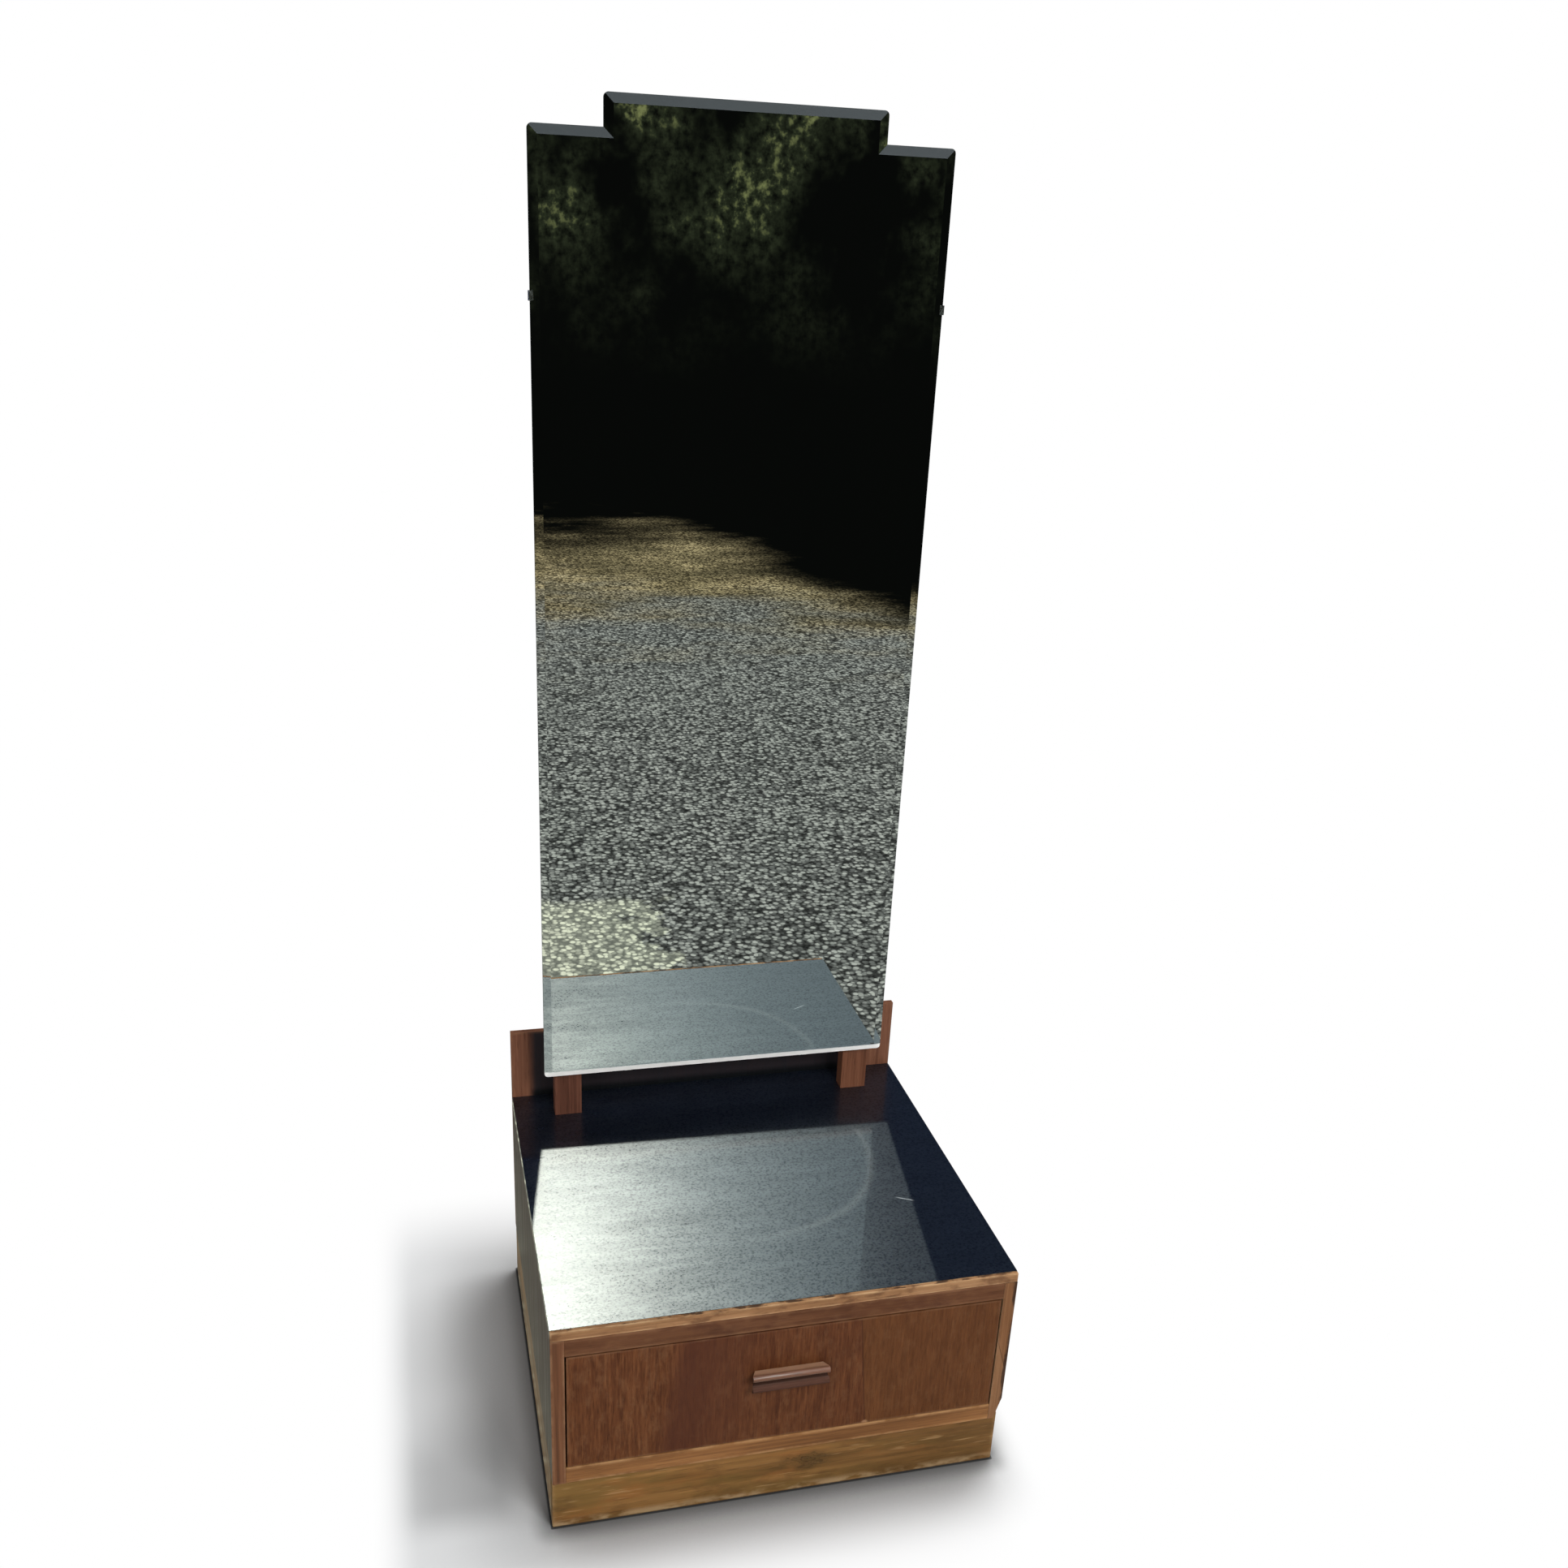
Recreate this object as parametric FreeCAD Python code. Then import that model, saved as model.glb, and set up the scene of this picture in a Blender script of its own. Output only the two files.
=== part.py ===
import FreeCAD, Part
import os

# Driving sizes in millimetres: X to the right, Y to the back, Z up, floor at Z = 0
CABINET_WIDTH = 533.0
CABINET_DEPTH = 478.0
TOP_HEIGHT = 285.0
TOP_THICKNESS = 12.0
PLINTH_HEIGHT = 73.0
PLINTH_SETBACK = 8.0
BOARD = 15.0
FRAME_STOCK = 22.0
RAIL_DEPTH = 40.0
BACK_RAIL_DEPTH = 30.0
KICKER_WIDTH = 30.0
BACK_THICKNESS = 8.0
UPSTAND_HEIGHT = 98.0
LIPPING = 5.0
PANEL = 5.0
TENON = 8.0
TENON_THICKNESS = 8.0
TENON_SHOULDER = 6.0
BLOCK = 32.0
BLOCK_LIFT = 6.0

MIRROR_INSET = 38.0
MIRROR_HEIGHT = 1137.0
MIRROR_LIFT = 65.0
MIRROR_STEP_WIDTH = 77.5
MIRROR_STEP_HEIGHT = 32.0
GLASS = 6.0
GLASS_EDGE = 3.6
BEVEL = 10.0
GLASS_CORNER = 5.0
BACKING = 6.0
BACKING_INSET = 2.0
UPRIGHT_WIDTH = 35.0
UPRIGHT_DEPTH = 20.0
UPRIGHT_INSET = 14.0
UPRIGHT_DROP = 40.0
UPRIGHT_SETBACK = 61.0
HANGING_RAIL_HEIGHT = 70.0
BACKING_SCREW_END = 50.0
CLIP_WIDTH = 10.0
CLIP_METAL = 1.0
CLIP_LIP = 3.5

DRAWER_FRONT = 18.0
DRAWER_SIDE = 11.0
DRAWER_REVEAL_SIDE = 2.0
DRAWER_REVEAL = 1.5
DRAWER_BACK_SPACE = 20.0
DRAWER_HEADROOM = 6.0
DRAWER_BACK_DROP = 8.0
DRAWER_PANEL_RISE = 7.0
DRAWER_GROOVE = 5.0
LAP = 5.0
TAILS = 3
STOP_LENGTH = 30.0
STOP_DEPTH = 18.0
STOP_HEIGHT = 5.0
PULL_LENGTH = 89.0
PULL_HEIGHT = 23.0
PULL_PROUD = 14.0
PULL_RISE = 13.5
PULL_UNDERCUT = 5.0

# Clearances: sliding and standing fits, and the room round a screw
FIT = 0.3
SCREW_ROOM = 0.2

# Planes that several pieces share; the pull is counted in so the whole footprint is centred
FRONT = -(CABINET_DEPTH - PULL_PROUD) / 2
BACK = FRONT + CABINET_DEPTH
BACK_FACE = BACK - BACK_THICKNESS
HALF = CABINET_WIDTH / 2
INNER = HALF - BOARD
UNDER_TOP = TOP_HEIGHT - TOP_THICKNESS
OPENING_LOW = PLINTH_HEIGHT + FRAME_STOCK
OPENING_HIGH = UNDER_TOP - FRAME_STOCK
UPRIGHT_FACE = BACK - UPRIGHT_SETBACK
UPRIGHT_REAR = UPRIGHT_FACE + UPRIGHT_DEPTH
GLASS_BACK = UPRIGHT_FACE - BACKING
GLASS_FRONT = GLASS_BACK - GLASS
MIRROR_WIDTH = CABINET_WIDTH - 2 * MIRROR_INSET
MIRROR_LOW = TOP_HEIGHT + MIRROR_LIFT
MIRROR_HIGH = MIRROR_LOW + MIRROR_HEIGHT
RAIL_REAR = FRONT + RAIL_DEPTH

X_AXIS = FreeCAD.Vector(1, 0, 0)
Z_AXIS = FreeCAD.Vector(0, 0, 1)


def box(x0, x1, y0, y1, z0, z1):
    return Part.makeBox(x1 - x0, y1 - y0, z1 - z0, FreeCAD.Vector(x0, y0, z0))


def prism(points, travel):
    wire = Part.makePolygon([FreeCAD.Vector(*p) for p in points + points[:1]])
    return Part.Face(wire).extrude(FreeCAD.Vector(*travel))


def mirrored(shape):
    return shape.mirror(FreeCAD.Vector(0, 0, 0), X_AXIS)


def cut_all(shape, cutters):
    for cutter in cutters:
        shape = shape.cut(cutter)
    return shape.removeSplitter()


def turned(profile, place, direction):
    wire = Part.makePolygon([FreeCAD.Vector(r, 0, z) for r, z in profile + profile[:1]])
    solid = Part.Face(wire).revolve(FreeCAD.Vector(0, 0, 0), Z_AXIS, 360)
    solid.Placement = FreeCAD.Placement(
        FreeCAD.Vector(*place), FreeCAD.Rotation(Z_AXIS, FreeCAD.Vector(*direction))
    )
    return solid


# A countersunk wood screw whose head lies flush at the given place
def sunk_screw(place, direction, length, shank):
    head = 2 * shank
    profile = [(0, 0), (head, 0), (shank, shank), (shank, length - shank), (0, length)]
    body = turned(profile, place, direction)
    slot = Part.makeBox(3 * head, 0.5 * shank, 0.5 * shank)
    slot.translate(FreeCAD.Vector(-1.5 * head, -0.25 * shank, 0))
    slot.Placement = FreeCAD.Placement(
        FreeCAD.Vector(*place), FreeCAD.Rotation(Z_AXIS, FreeCAD.Vector(*direction))
    ).multiply(slot.Placement)
    return body.cut(slot)


# The countersunk hole that such a screw sits in, larger all round by the screw's room
def sunk_hole(place, direction, length, shank):
    head = 2 * shank + SCREW_ROOM
    bore = shank + SCREW_ROOM
    end = length + SCREW_ROOM
    profile = [(0, -1), (head, -1), (head, 0), (bore, shank), (bore, end), (0, end)]
    return turned(profile, place, direction)


def screws_at(places, direction, length, shank):
    return [sunk_screw(p, direction, length, shank) for p in places]


def holes_at(places, direction, length, shank):
    return [sunk_hole(p, direction, length, shank) for p in places]


def save(node, shape):
    if isinstance(shape, list):
        shape = Part.makeCompound(shape)
    shape.exportStep("parts/" + node + ".step")


os.makedirs("parts", exist_ok=True)

# Cross rails between the two sides, each with a stub tenon at both ends

def cross_rail(y0, y1, z0, z1):
    tenon_low = (z0 + z1 - TENON_THICKNESS) / 2
    tenon = box(
        INNER,
        INNER + TENON,
        y0 + TENON_SHOULDER,
        y1 - TENON_SHOULDER,
        tenon_low,
        tenon_low + TENON_THICKNESS,
    )
    rail = box(-INNER, INNER, y0, y1, z0, z1).fuse([tenon, mirrored(tenon)])
    return rail.removeSplitter(), tenon


hanging_low = UNDER_TOP - HANGING_RAIL_HEIGHT
back_rail_front = BACK_FACE - BACK_RAIL_DEPTH
top_rail, tenon_1 = cross_rail(FRONT, RAIL_REAR, OPENING_HIGH, UNDER_TOP)
bottom_rail, tenon_2 = cross_rail(FRONT, RAIL_REAR, PLINTH_HEIGHT, OPENING_LOW)
back_rail, tenon_3 = cross_rail(back_rail_front, BACK_FACE, PLINTH_HEIGHT, OPENING_LOW)
hanging_rail, tenon_4 = cross_rail(UPRIGHT_REAR, BACK_FACE, hanging_low, UNDER_TOP)

# Dust panel held in a groove that runs round the bottom frame
groove_low = (PLINTH_HEIGHT + OPENING_LOW - PANEL) / 2
groove_high = groove_low + PANEL
groove_front = RAIL_REAR - TENON
groove_back = back_rail_front + TENON
runner_edge = INNER - RAIL_DEPTH
bottom_rail = bottom_rail.cut(box(-INNER, INNER, groove_front, RAIL_REAR, groove_low, groove_high))
back_rail = back_rail.cut(
    box(-INNER, INNER, back_rail_front, groove_back, groove_low, groove_high)
)
dust_panel = box(
    -runner_edge - TENON, runner_edge + TENON, groove_front, groove_back, groove_low, groove_high
)
save("dust_panel", dust_panel)

# Drawer runners, tongued into the rails and grooved for the panel
runner = box(runner_edge, INNER, RAIL_REAR, back_rail_front, PLINTH_HEIGHT, OPENING_LOW)
runner = runner.fuse(box(runner_edge, INNER, groove_front, groove_back, groove_low, groove_high))
runner = runner.cut(dust_panel).removeSplitter()
save("runner_right", runner)
save("runner_left", mirrored(runner))

# Two sides with mortises for the rails
back_screw_length = 28.0
side_height = UNDER_TOP - PLINTH_HEIGHT
side_screw_places = [
    (HALF - BOARD / 2, BACK, PLINTH_HEIGHT + 0.25 * side_height),
    (HALF - BOARD / 2, BACK, PLINTH_HEIGHT + 0.55 * side_height),
]
side_screw_places = side_screw_places + [(-x, y, z) for x, y, z in side_screw_places]
rail_screw_places = [
    (-INNER / 2, BACK, UNDER_TOP - HANGING_RAIL_HEIGHT / 2),
    (INNER / 2, BACK, UNDER_TOP - HANGING_RAIL_HEIGHT / 2),
    (-INNER / 2, BACK, PLINTH_HEIGHT + FRAME_STOCK / 2),
    (INNER / 2, BACK, PLINTH_HEIGHT + FRAME_STOCK / 2),
]
back_screw_places = side_screw_places + rail_screw_places
back_holes = holes_at(back_screw_places, (0, -1, 0), back_screw_length, 1.8)
side = box(INNER, HALF, FRONT, BACK_FACE, PLINTH_HEIGHT, UNDER_TOP)
side = cut_all(side, [tenon_1, tenon_2, tenon_3, tenon_4] + back_holes[:2])
save("right_side", side)
save("left_side", mirrored(side))

# Back panel, carried up past the top as the low upstand behind the mirror
back_panel = box(-HALF, HALF, BACK_FACE, BACK, PLINTH_HEIGHT, TOP_HEIGHT + UPSTAND_HEIGHT)
save("back_panel", cut_all(back_panel, back_holes))
save("back_screws", screws_at(back_screw_places, (0, -1, 0), back_screw_length, 1.8))

# Kickers under the top that stop the open drawer from tipping
kicker_edge = INNER - KICKER_WIDTH
top_screw_places = [
    (INNER - KICKER_WIDTH / 2, FRONT + 0.25 * CABINET_DEPTH, OPENING_HIGH),
    (INNER - KICKER_WIDTH / 2, FRONT + 0.75 * CABINET_DEPTH, OPENING_HIGH),
]
top_screw_places = top_screw_places + [(-x, y, z) for x, y, z in top_screw_places]
top_screw_length = FRAME_STOCK + 0.6 * TOP_THICKNESS
top_holes = holes_at(top_screw_places, (0, 0, 1), top_screw_length, 2.0)
kicker = box(kicker_edge, INNER, RAIL_REAR, UPRIGHT_REAR, OPENING_HIGH, UNDER_TOP)
kicker = cut_all(kicker, top_holes[:2])
save("kicker_right", kicker)
save("kicker_left", mirrored(kicker))
save("top_screws", screws_at(top_screw_places, (0, 0, 1), top_screw_length, 2.0))

# Uprights: stand against the hanging rail, pass through the top and rise behind the mirror
upright_x = MIRROR_WIDTH / 2 - UPRIGHT_INSET - UPRIGHT_WIDTH / 2
upright_high = MIRROR_HIGH - MIRROR_STEP_HEIGHT - UPRIGHT_DROP
upright = box(
    upright_x - UPRIGHT_WIDTH / 2,
    upright_x + UPRIGHT_WIDTH / 2,
    UPRIGHT_FACE,
    UPRIGHT_REAR,
    hanging_low,
    upright_high,
)
foot_places = [
    (upright_x, UPRIGHT_FACE, hanging_low + 0.25 * HANGING_RAIL_HEIGHT),
    (upright_x, UPRIGHT_FACE, hanging_low + 0.75 * HANGING_RAIL_HEIGHT),
]
foot_places = foot_places + [(-x, y, z) for x, y, z in foot_places]
foot_length = 1.9 * UPRIGHT_DEPTH
foot_holes = holes_at(foot_places, (0, 1, 0), foot_length, 2.2)
backing_heights = [
    MIRROR_LOW + BACKING_SCREW_END,
    (MIRROR_LOW + upright_high) / 2,
    upright_high - BACKING_SCREW_END,
]
backing_places = [(upright_x, UPRIGHT_REAR, z) for z in backing_heights]
backing_places = backing_places + [(-x, y, z) for x, y, z in backing_places]
backing_length = UPRIGHT_DEPTH + BACKING - 1.0
backing_holes = holes_at(backing_places, (0, -1, 0), backing_length, 1.8)
upright = cut_all(upright, foot_holes[:2] + backing_holes[:3])
save("right_upright", upright)
save("left_upright", mirrored(upright))
save("upright_screws", screws_at(foot_places, (0, 1, 0), foot_length, 2.2))
save("backing_screws", screws_at(backing_places, (0, -1, 0), backing_length, 1.8))

save("top_rail", top_rail)
save("bottom_rail", bottom_rail.removeSplitter())
save("bottom_back_rail", cut_all(back_rail, back_holes[6:]))
save("hanging_rail", cut_all(hanging_rail, back_holes[4:6] + foot_holes))

# Top board with a slot for each upright, and the lipping along its front edge
slot = box(
    upright_x - UPRIGHT_WIDTH / 2 - FIT,
    upright_x + UPRIGHT_WIDTH / 2 + FIT,
    UPRIGHT_FACE - FIT,
    UPRIGHT_REAR + FIT,
    UNDER_TOP,
    TOP_HEIGHT,
)
top_board = box(-HALF, HALF, FRONT + LIPPING, BACK_FACE, UNDER_TOP, TOP_HEIGHT)
save("top_board", cut_all(top_board, [slot, mirrored(slot)] + top_holes))
lipping = box(-HALF, HALF, FRONT, FRONT + LIPPING, UNDER_TOP, TOP_HEIGHT)
arris = [
    e
    for e in lipping.Edges
    if e.BoundBox.YMax < FRONT + 0.1 and e.BoundBox.ZMin > TOP_HEIGHT - 0.1
]
save("top_lipping", lipping.makeFillet(1.5, arris))

# Plinth: four boards set back at the front, with a glue block in each corner
plinth_front = FRONT + PLINTH_SETBACK
plinth_mid = plinth_front + BOARD
plinth_inner = HALF - BOARD
save("plinth_front", box(-HALF, HALF, plinth_front, plinth_mid, 0, PLINTH_HEIGHT))
plinth_side = box(plinth_inner, HALF, plinth_mid, BACK_FACE, 0, PLINTH_HEIGHT)
save("plinth_right", plinth_side)
save("plinth_left", mirrored(plinth_side))
plinth_rear = BACK_FACE - BOARD
save("plinth_back", box(-plinth_inner, plinth_inner, plinth_rear, BACK_FACE, 0, PLINTH_HEIGHT))
block_rise = (0, 0, PLINTH_HEIGHT - BLOCK_LIFT)
front_block = prism(
    [
        (plinth_inner, plinth_mid, BLOCK_LIFT),
        (plinth_inner, plinth_mid + BLOCK, BLOCK_LIFT),
        (plinth_inner - BLOCK, plinth_mid, BLOCK_LIFT),
    ],
    block_rise,
)
rear_block = prism(
    [
        (plinth_inner, plinth_rear, BLOCK_LIFT),
        (plinth_inner - BLOCK, plinth_rear, BLOCK_LIFT),
        (plinth_inner, plinth_rear - BLOCK, BLOCK_LIFT),
    ],
    block_rise,
)
save("plinth_blocks", [front_block, mirrored(front_block), rear_block, mirrored(rear_block)])

# Stepped outline of the mirror, drawn in by a margin on every side
def stepped_outline(margin, y):
    half = MIRROR_WIDTH / 2 - margin
    block = MIRROR_WIDTH / 2 - MIRROR_STEP_WIDTH - margin
    low = MIRROR_LOW + margin
    shoulder = MIRROR_HIGH - MIRROR_STEP_HEIGHT - margin
    high = MIRROR_HIGH - margin
    right = [(half, y, low), (half, y, shoulder), (block, y, shoulder), (block, y, high)]
    return right + [(-x, y, z) for x, y, z in reversed(right)]


# Mirror glass: flat plate, a bevel mitred round every step, and eased outer corners
plate = prism(stepped_outline(0, GLASS_BACK), (0, -GLASS_EDGE, 0))
bevel_low = GLASS_BACK - GLASS_EDGE
outer = Part.makePolygon(
    [FreeCAD.Vector(*p) for p in stepped_outline(0, bevel_low) + stepped_outline(0, bevel_low)[:1]]
)
inner = Part.makePolygon(
    [
        FreeCAD.Vector(*p)
        for p in stepped_outline(BEVEL, GLASS_FRONT) + stepped_outline(BEVEL, GLASS_FRONT)[:1]
    ]
)
bevelled = Part.makeLoft([outer, inner], True, True)
glass = plate.fuse(bevelled).removeSplitter()
blank = prism(stepped_outline(0, GLASS_BACK), (0, -GLASS, 0))
step_inside = MIRROR_WIDTH / 2 - MIRROR_STEP_WIDTH
shoulder_z = MIRROR_HIGH - MIRROR_STEP_HEIGHT
eased = [
    e
    for e in blank.Edges
    if abs(e.BoundBox.YLength - GLASS) < 0.1
    and not (
        abs(abs(e.CenterOfMass.x) - step_inside) < 0.1 and abs(e.CenterOfMass.z - shoulder_z) < 0.1
    )
]
glass = glass.common(blank.makeFillet(GLASS_CORNER, eased))
save("mirror_glass", glass)

# Clips bent round the edges of the glass and its backing, screwed on behind
clip_leg = UPRIGHT_INSET
clip_slope = (GLASS - GLASS_EDGE) / BEVEL
clip_web_in = FIT / 2
clip_web_out = clip_web_in + CLIP_METAL
clip_lip_back = bevel_low - clip_slope * CLIP_LIP - FIT / 2
clip_lip_front = clip_lip_back - CLIP_METAL
clip_rear = UPRIGHT_FACE + CLIP_METAL
clip_height = MIRROR_LOW + 0.83 * MIRROR_HEIGHT

# Clip sections in distances outward from the edge of the glass, and along Y
clip_behind = [
    (clip_web_out, clip_rear),
    (clip_web_out - clip_leg, clip_rear),
    (clip_web_out - clip_leg, UPRIGHT_FACE),
    (clip_web_in, UPRIGHT_FACE),
]
side_section = (
    [(-CLIP_LIP, clip_lip_front), (clip_web_out, clip_lip_front)]
    + clip_behind
    + [(clip_web_in, clip_lip_back), (-CLIP_LIP, clip_lip_back)]
)

# The two under the glass are plain ledges that end short of its front edge
ledge_front = bevel_low + CLIP_METAL
foot_section = [(clip_web_out, ledge_front)] + clip_behind + [(clip_web_in, ledge_front)]

edge_x = MIRROR_WIDTH / 2
clip_bottom_x = 0.52 * edge_x
clip_hole_in = clip_web_out - clip_leg + 4.0
side_clip = prism(
    [(edge_x + out, y, clip_height - CLIP_WIDTH / 2) for out, y in side_section],
    (0, 0, CLIP_WIDTH),
)
foot_clip = prism(
    [(clip_bottom_x - CLIP_WIDTH / 2, y, MIRROR_LOW - out) for out, y in foot_section],
    (CLIP_WIDTH, 0, 0),
)
clips = [side_clip, mirrored(side_clip), foot_clip, mirrored(foot_clip)]
clip_screw_places = [
    (edge_x + clip_hole_in, clip_rear, clip_height),
    (-edge_x - clip_hole_in, clip_rear, clip_height),
    (clip_bottom_x, clip_rear, MIRROR_LOW - clip_hole_in),
    (-clip_bottom_x, clip_rear, MIRROR_LOW - clip_hole_in),
]
CLIP_SCREW = [(0, -1.6), (1.4, -1.6), (2.4, -0.6), (2.4, 0), (1.2, 0), (1.2, 4.0), (0, 5.0)]
clip_screws = [turned(CLIP_SCREW, p, (0, -1, 0)) for p in clip_screw_places]
CLIP_BORE = [(0, -1), (1.4, -1), (1.4, 5.3), (0, 5.3)]
clip_bores = [turned(CLIP_BORE, p, (0, -1, 0)) for p in clip_screw_places]
save("mirror_clips", [clip.cut(bore) for clip, bore in zip(clips, clip_bores)])
save("clip_screws", clip_screws)

# Backing board between the glass and the uprights
backing = prism(stepped_outline(BACKING_INSET, UPRIGHT_FACE), (0, -BACKING, 0))
save("mirror_backing", cut_all(backing, backing_holes + clip_bores))

# Drawer: lapped dovetails at the front, through dovetails at the back
drawer_half = INNER - DRAWER_REVEAL_SIDE
drawer_low = OPENING_LOW + FIT
drawer_high = OPENING_HIGH - DRAWER_HEADROOM
front_low = OPENING_LOW + DRAWER_REVEAL
front_high = OPENING_HIGH - DRAWER_REVEAL
front_rear = FRONT + DRAWER_FRONT
drawer_rear = UPRIGHT_FACE - DRAWER_BACK_SPACE
back_front = drawer_rear - DRAWER_SIDE
panel_low = drawer_low + DRAWER_PANEL_RISE
panel_high = panel_low + PANEL
back_high = drawer_high - DRAWER_BACK_DROP
side_inner = drawer_half - DRAWER_SIDE


# Tails of one corner: wedges that widen towards the end of the side board
def tails(root, tip, low, high):
    pitch = (high - low) / TAILS
    flare = abs(tip - root) / 6
    wedges = []
    for i in range(TAILS):
        centre = low + (i + 0.5) * pitch
        narrow = 0.32 * pitch
        wide = narrow + flare
        points = [
            (side_inner, root, centre - narrow),
            (side_inner, root, centre + narrow),
            (side_inner, tip, centre + wide),
            (side_inner, tip, centre - wide),
        ]
        wedges.append(prism(points, (DRAWER_SIDE, 0, 0)))
    return wedges


front_tails = tails(front_rear, FRONT + LAP, front_low, drawer_high)
back_tails = tails(back_front, drawer_rear, panel_high, back_high)
left_front_tails = [mirrored(t) for t in front_tails]
left_back_tails = [mirrored(t) for t in back_tails]

panel_half = side_inner + DRAWER_GROOVE
drawer_bottom = box(
    -panel_half, panel_half, front_rear - DRAWER_GROOVE, drawer_rear, panel_low, panel_high
)
bottom_screw_places = [
    (x, (back_front + drawer_rear) / 2, panel_low) for x in (-0.6 * side_inner, 0, 0.6 * side_inner)
]
bottom_screw_length = PANEL + 14.0
bottom_holes = holes_at(bottom_screw_places, (0, 0, 1), bottom_screw_length, 1.5)

pull_height = (front_low + front_high) / 2 + PULL_RISE
pull_screw_places = [
    (-0.3 * PULL_LENGTH, front_rear, pull_height),
    (0.3 * PULL_LENGTH, front_rear, pull_height),
]
pull_screw_length = DRAWER_FRONT + 0.5 * PULL_PROUD
pull_holes = holes_at(pull_screw_places, (0, -1, 0), pull_screw_length, 1.8)

drawer_front = box(-drawer_half, drawer_half, FRONT, front_rear, front_low, front_high)
drawer_front = cut_all(
    drawer_front, front_tails + left_front_tails + [drawer_bottom] + pull_holes
)
save("drawer_front", drawer_front)

drawer_back = box(-drawer_half, drawer_half, back_front, drawer_rear, panel_high, back_high)
drawer_back = cut_all(drawer_back, back_tails + left_back_tails + bottom_holes)
save("drawer_back", drawer_back)

drawer_side = box(side_inner, drawer_half, front_rear, drawer_rear, drawer_low, drawer_high)
drawer_side = drawer_side.fuse(front_tails)
drawer_side = cut_all(drawer_side, [drawer_back, drawer_bottom])
save("drawer_right", drawer_side)
save("drawer_left", mirrored(drawer_side))
save("drawer_bottom", cut_all(drawer_bottom, bottom_holes))
save("drawer_bottom_screws", screws_at(bottom_screw_places, (0, 0, 1), bottom_screw_length, 1.5))

# Stops on the bottom rail that the closed drawer front meets
stop_x = 0.55 * INNER
stop_front = front_rear + FIT
stop = box(
    stop_x,
    stop_x + STOP_LENGTH,
    stop_front,
    stop_front + STOP_DEPTH,
    OPENING_LOW,
    OPENING_LOW + STOP_HEIGHT,
)
save("drawer_stops", [stop, mirrored(stop)])

# Pull: a bar with two reeds and a hollow between them along its front, undercut all round
half_height = PULL_HEIGHT / 2
reed = PULL_HEIGHT / 6
hollow = half_height - 2 * reed
hollow_depth = 0.75 * hollow
reed_root = FRONT - PULL_PROUD + reed
neck = half_height - 0.4 * PULL_UNDERCUT


def at(y, z):
    return FreeCAD.Vector(-PULL_LENGTH / 2, y, pull_height + z)


def arc(start, middle, end):
    return Part.Arc(at(*start), at(*middle), at(*end)).toShape()


edges = [
    Part.makeLine(at(FRONT, neck), at(FRONT, -neck)),
    Part.makeLine(at(FRONT, -neck), at(reed_root, -half_height)),
    arc((reed_root, -half_height), (reed_root - reed, -half_height + reed), (reed_root, -hollow)),
    arc((reed_root, -hollow), (reed_root + hollow_depth, 0), (reed_root, hollow)),
    arc((reed_root, hollow), (reed_root - reed, half_height - reed), (reed_root, half_height)),
    Part.makeLine(at(reed_root, half_height), at(FRONT, neck)),
]
pull = Part.Face(Part.Wire(edges)).extrude(FreeCAD.Vector(PULL_LENGTH, 0, 0))
undercut = prism(
    [
        (PULL_LENGTH / 2, reed_root, pull_height - PULL_HEIGHT),
        (PULL_LENGTH, reed_root, pull_height - PULL_HEIGHT),
        (PULL_LENGTH, FRONT, pull_height - PULL_HEIGHT),
        (PULL_LENGTH / 2 - PULL_UNDERCUT, FRONT, pull_height - PULL_HEIGHT),
    ],
    (0, 0, 2 * PULL_HEIGHT),
)
save("drawer_pull", cut_all(pull, [undercut, mirrored(undercut)] + pull_holes))
save("pull_screws", screws_at(pull_screw_places, (0, -1, 0), pull_screw_length, 1.8))
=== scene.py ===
import math

import bpy
from mathutils import Matrix, Vector


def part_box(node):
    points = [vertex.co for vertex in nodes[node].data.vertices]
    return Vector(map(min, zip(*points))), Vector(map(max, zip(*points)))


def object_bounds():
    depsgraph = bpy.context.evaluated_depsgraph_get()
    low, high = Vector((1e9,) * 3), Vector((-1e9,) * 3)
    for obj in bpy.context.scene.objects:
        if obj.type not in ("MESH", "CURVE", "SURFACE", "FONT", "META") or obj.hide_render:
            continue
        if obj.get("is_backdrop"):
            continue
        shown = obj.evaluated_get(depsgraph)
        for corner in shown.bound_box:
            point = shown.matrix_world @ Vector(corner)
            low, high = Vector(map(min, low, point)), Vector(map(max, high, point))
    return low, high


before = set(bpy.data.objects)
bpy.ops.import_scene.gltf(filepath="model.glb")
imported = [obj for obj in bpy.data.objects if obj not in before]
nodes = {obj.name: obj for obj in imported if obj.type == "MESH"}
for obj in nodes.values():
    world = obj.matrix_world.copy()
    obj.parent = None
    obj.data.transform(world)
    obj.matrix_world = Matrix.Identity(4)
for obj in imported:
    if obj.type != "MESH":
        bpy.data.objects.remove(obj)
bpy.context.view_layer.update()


# The plinth is a low box under the cabinet, of pale straight-grained boards about 15 mm thick.
# Its front board overlaps the two side boards, and glue blocks in the corners hold it square.
# It was never polished, so the grain is dry and dull, with a knot and old stains from damp floors.
def layer(owner, kind, feeds=None, out=0, **traits):
    """Adds one step to a finish and gives its result; a feed is another step's result or a number."""
    step = owner.node_tree.nodes.new("ShaderNode" + kind)
    for trait, value in traits.items():
        setattr(step, trait, value)
    for socket, feed in (feeds or {}).items():
        if isinstance(feed, bpy.types.NodeSocket):
            owner.node_tree.links.new(feed, step.inputs[socket])
        else:
            step.inputs[socket].default_value = feed
    return step.outputs[out]


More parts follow.
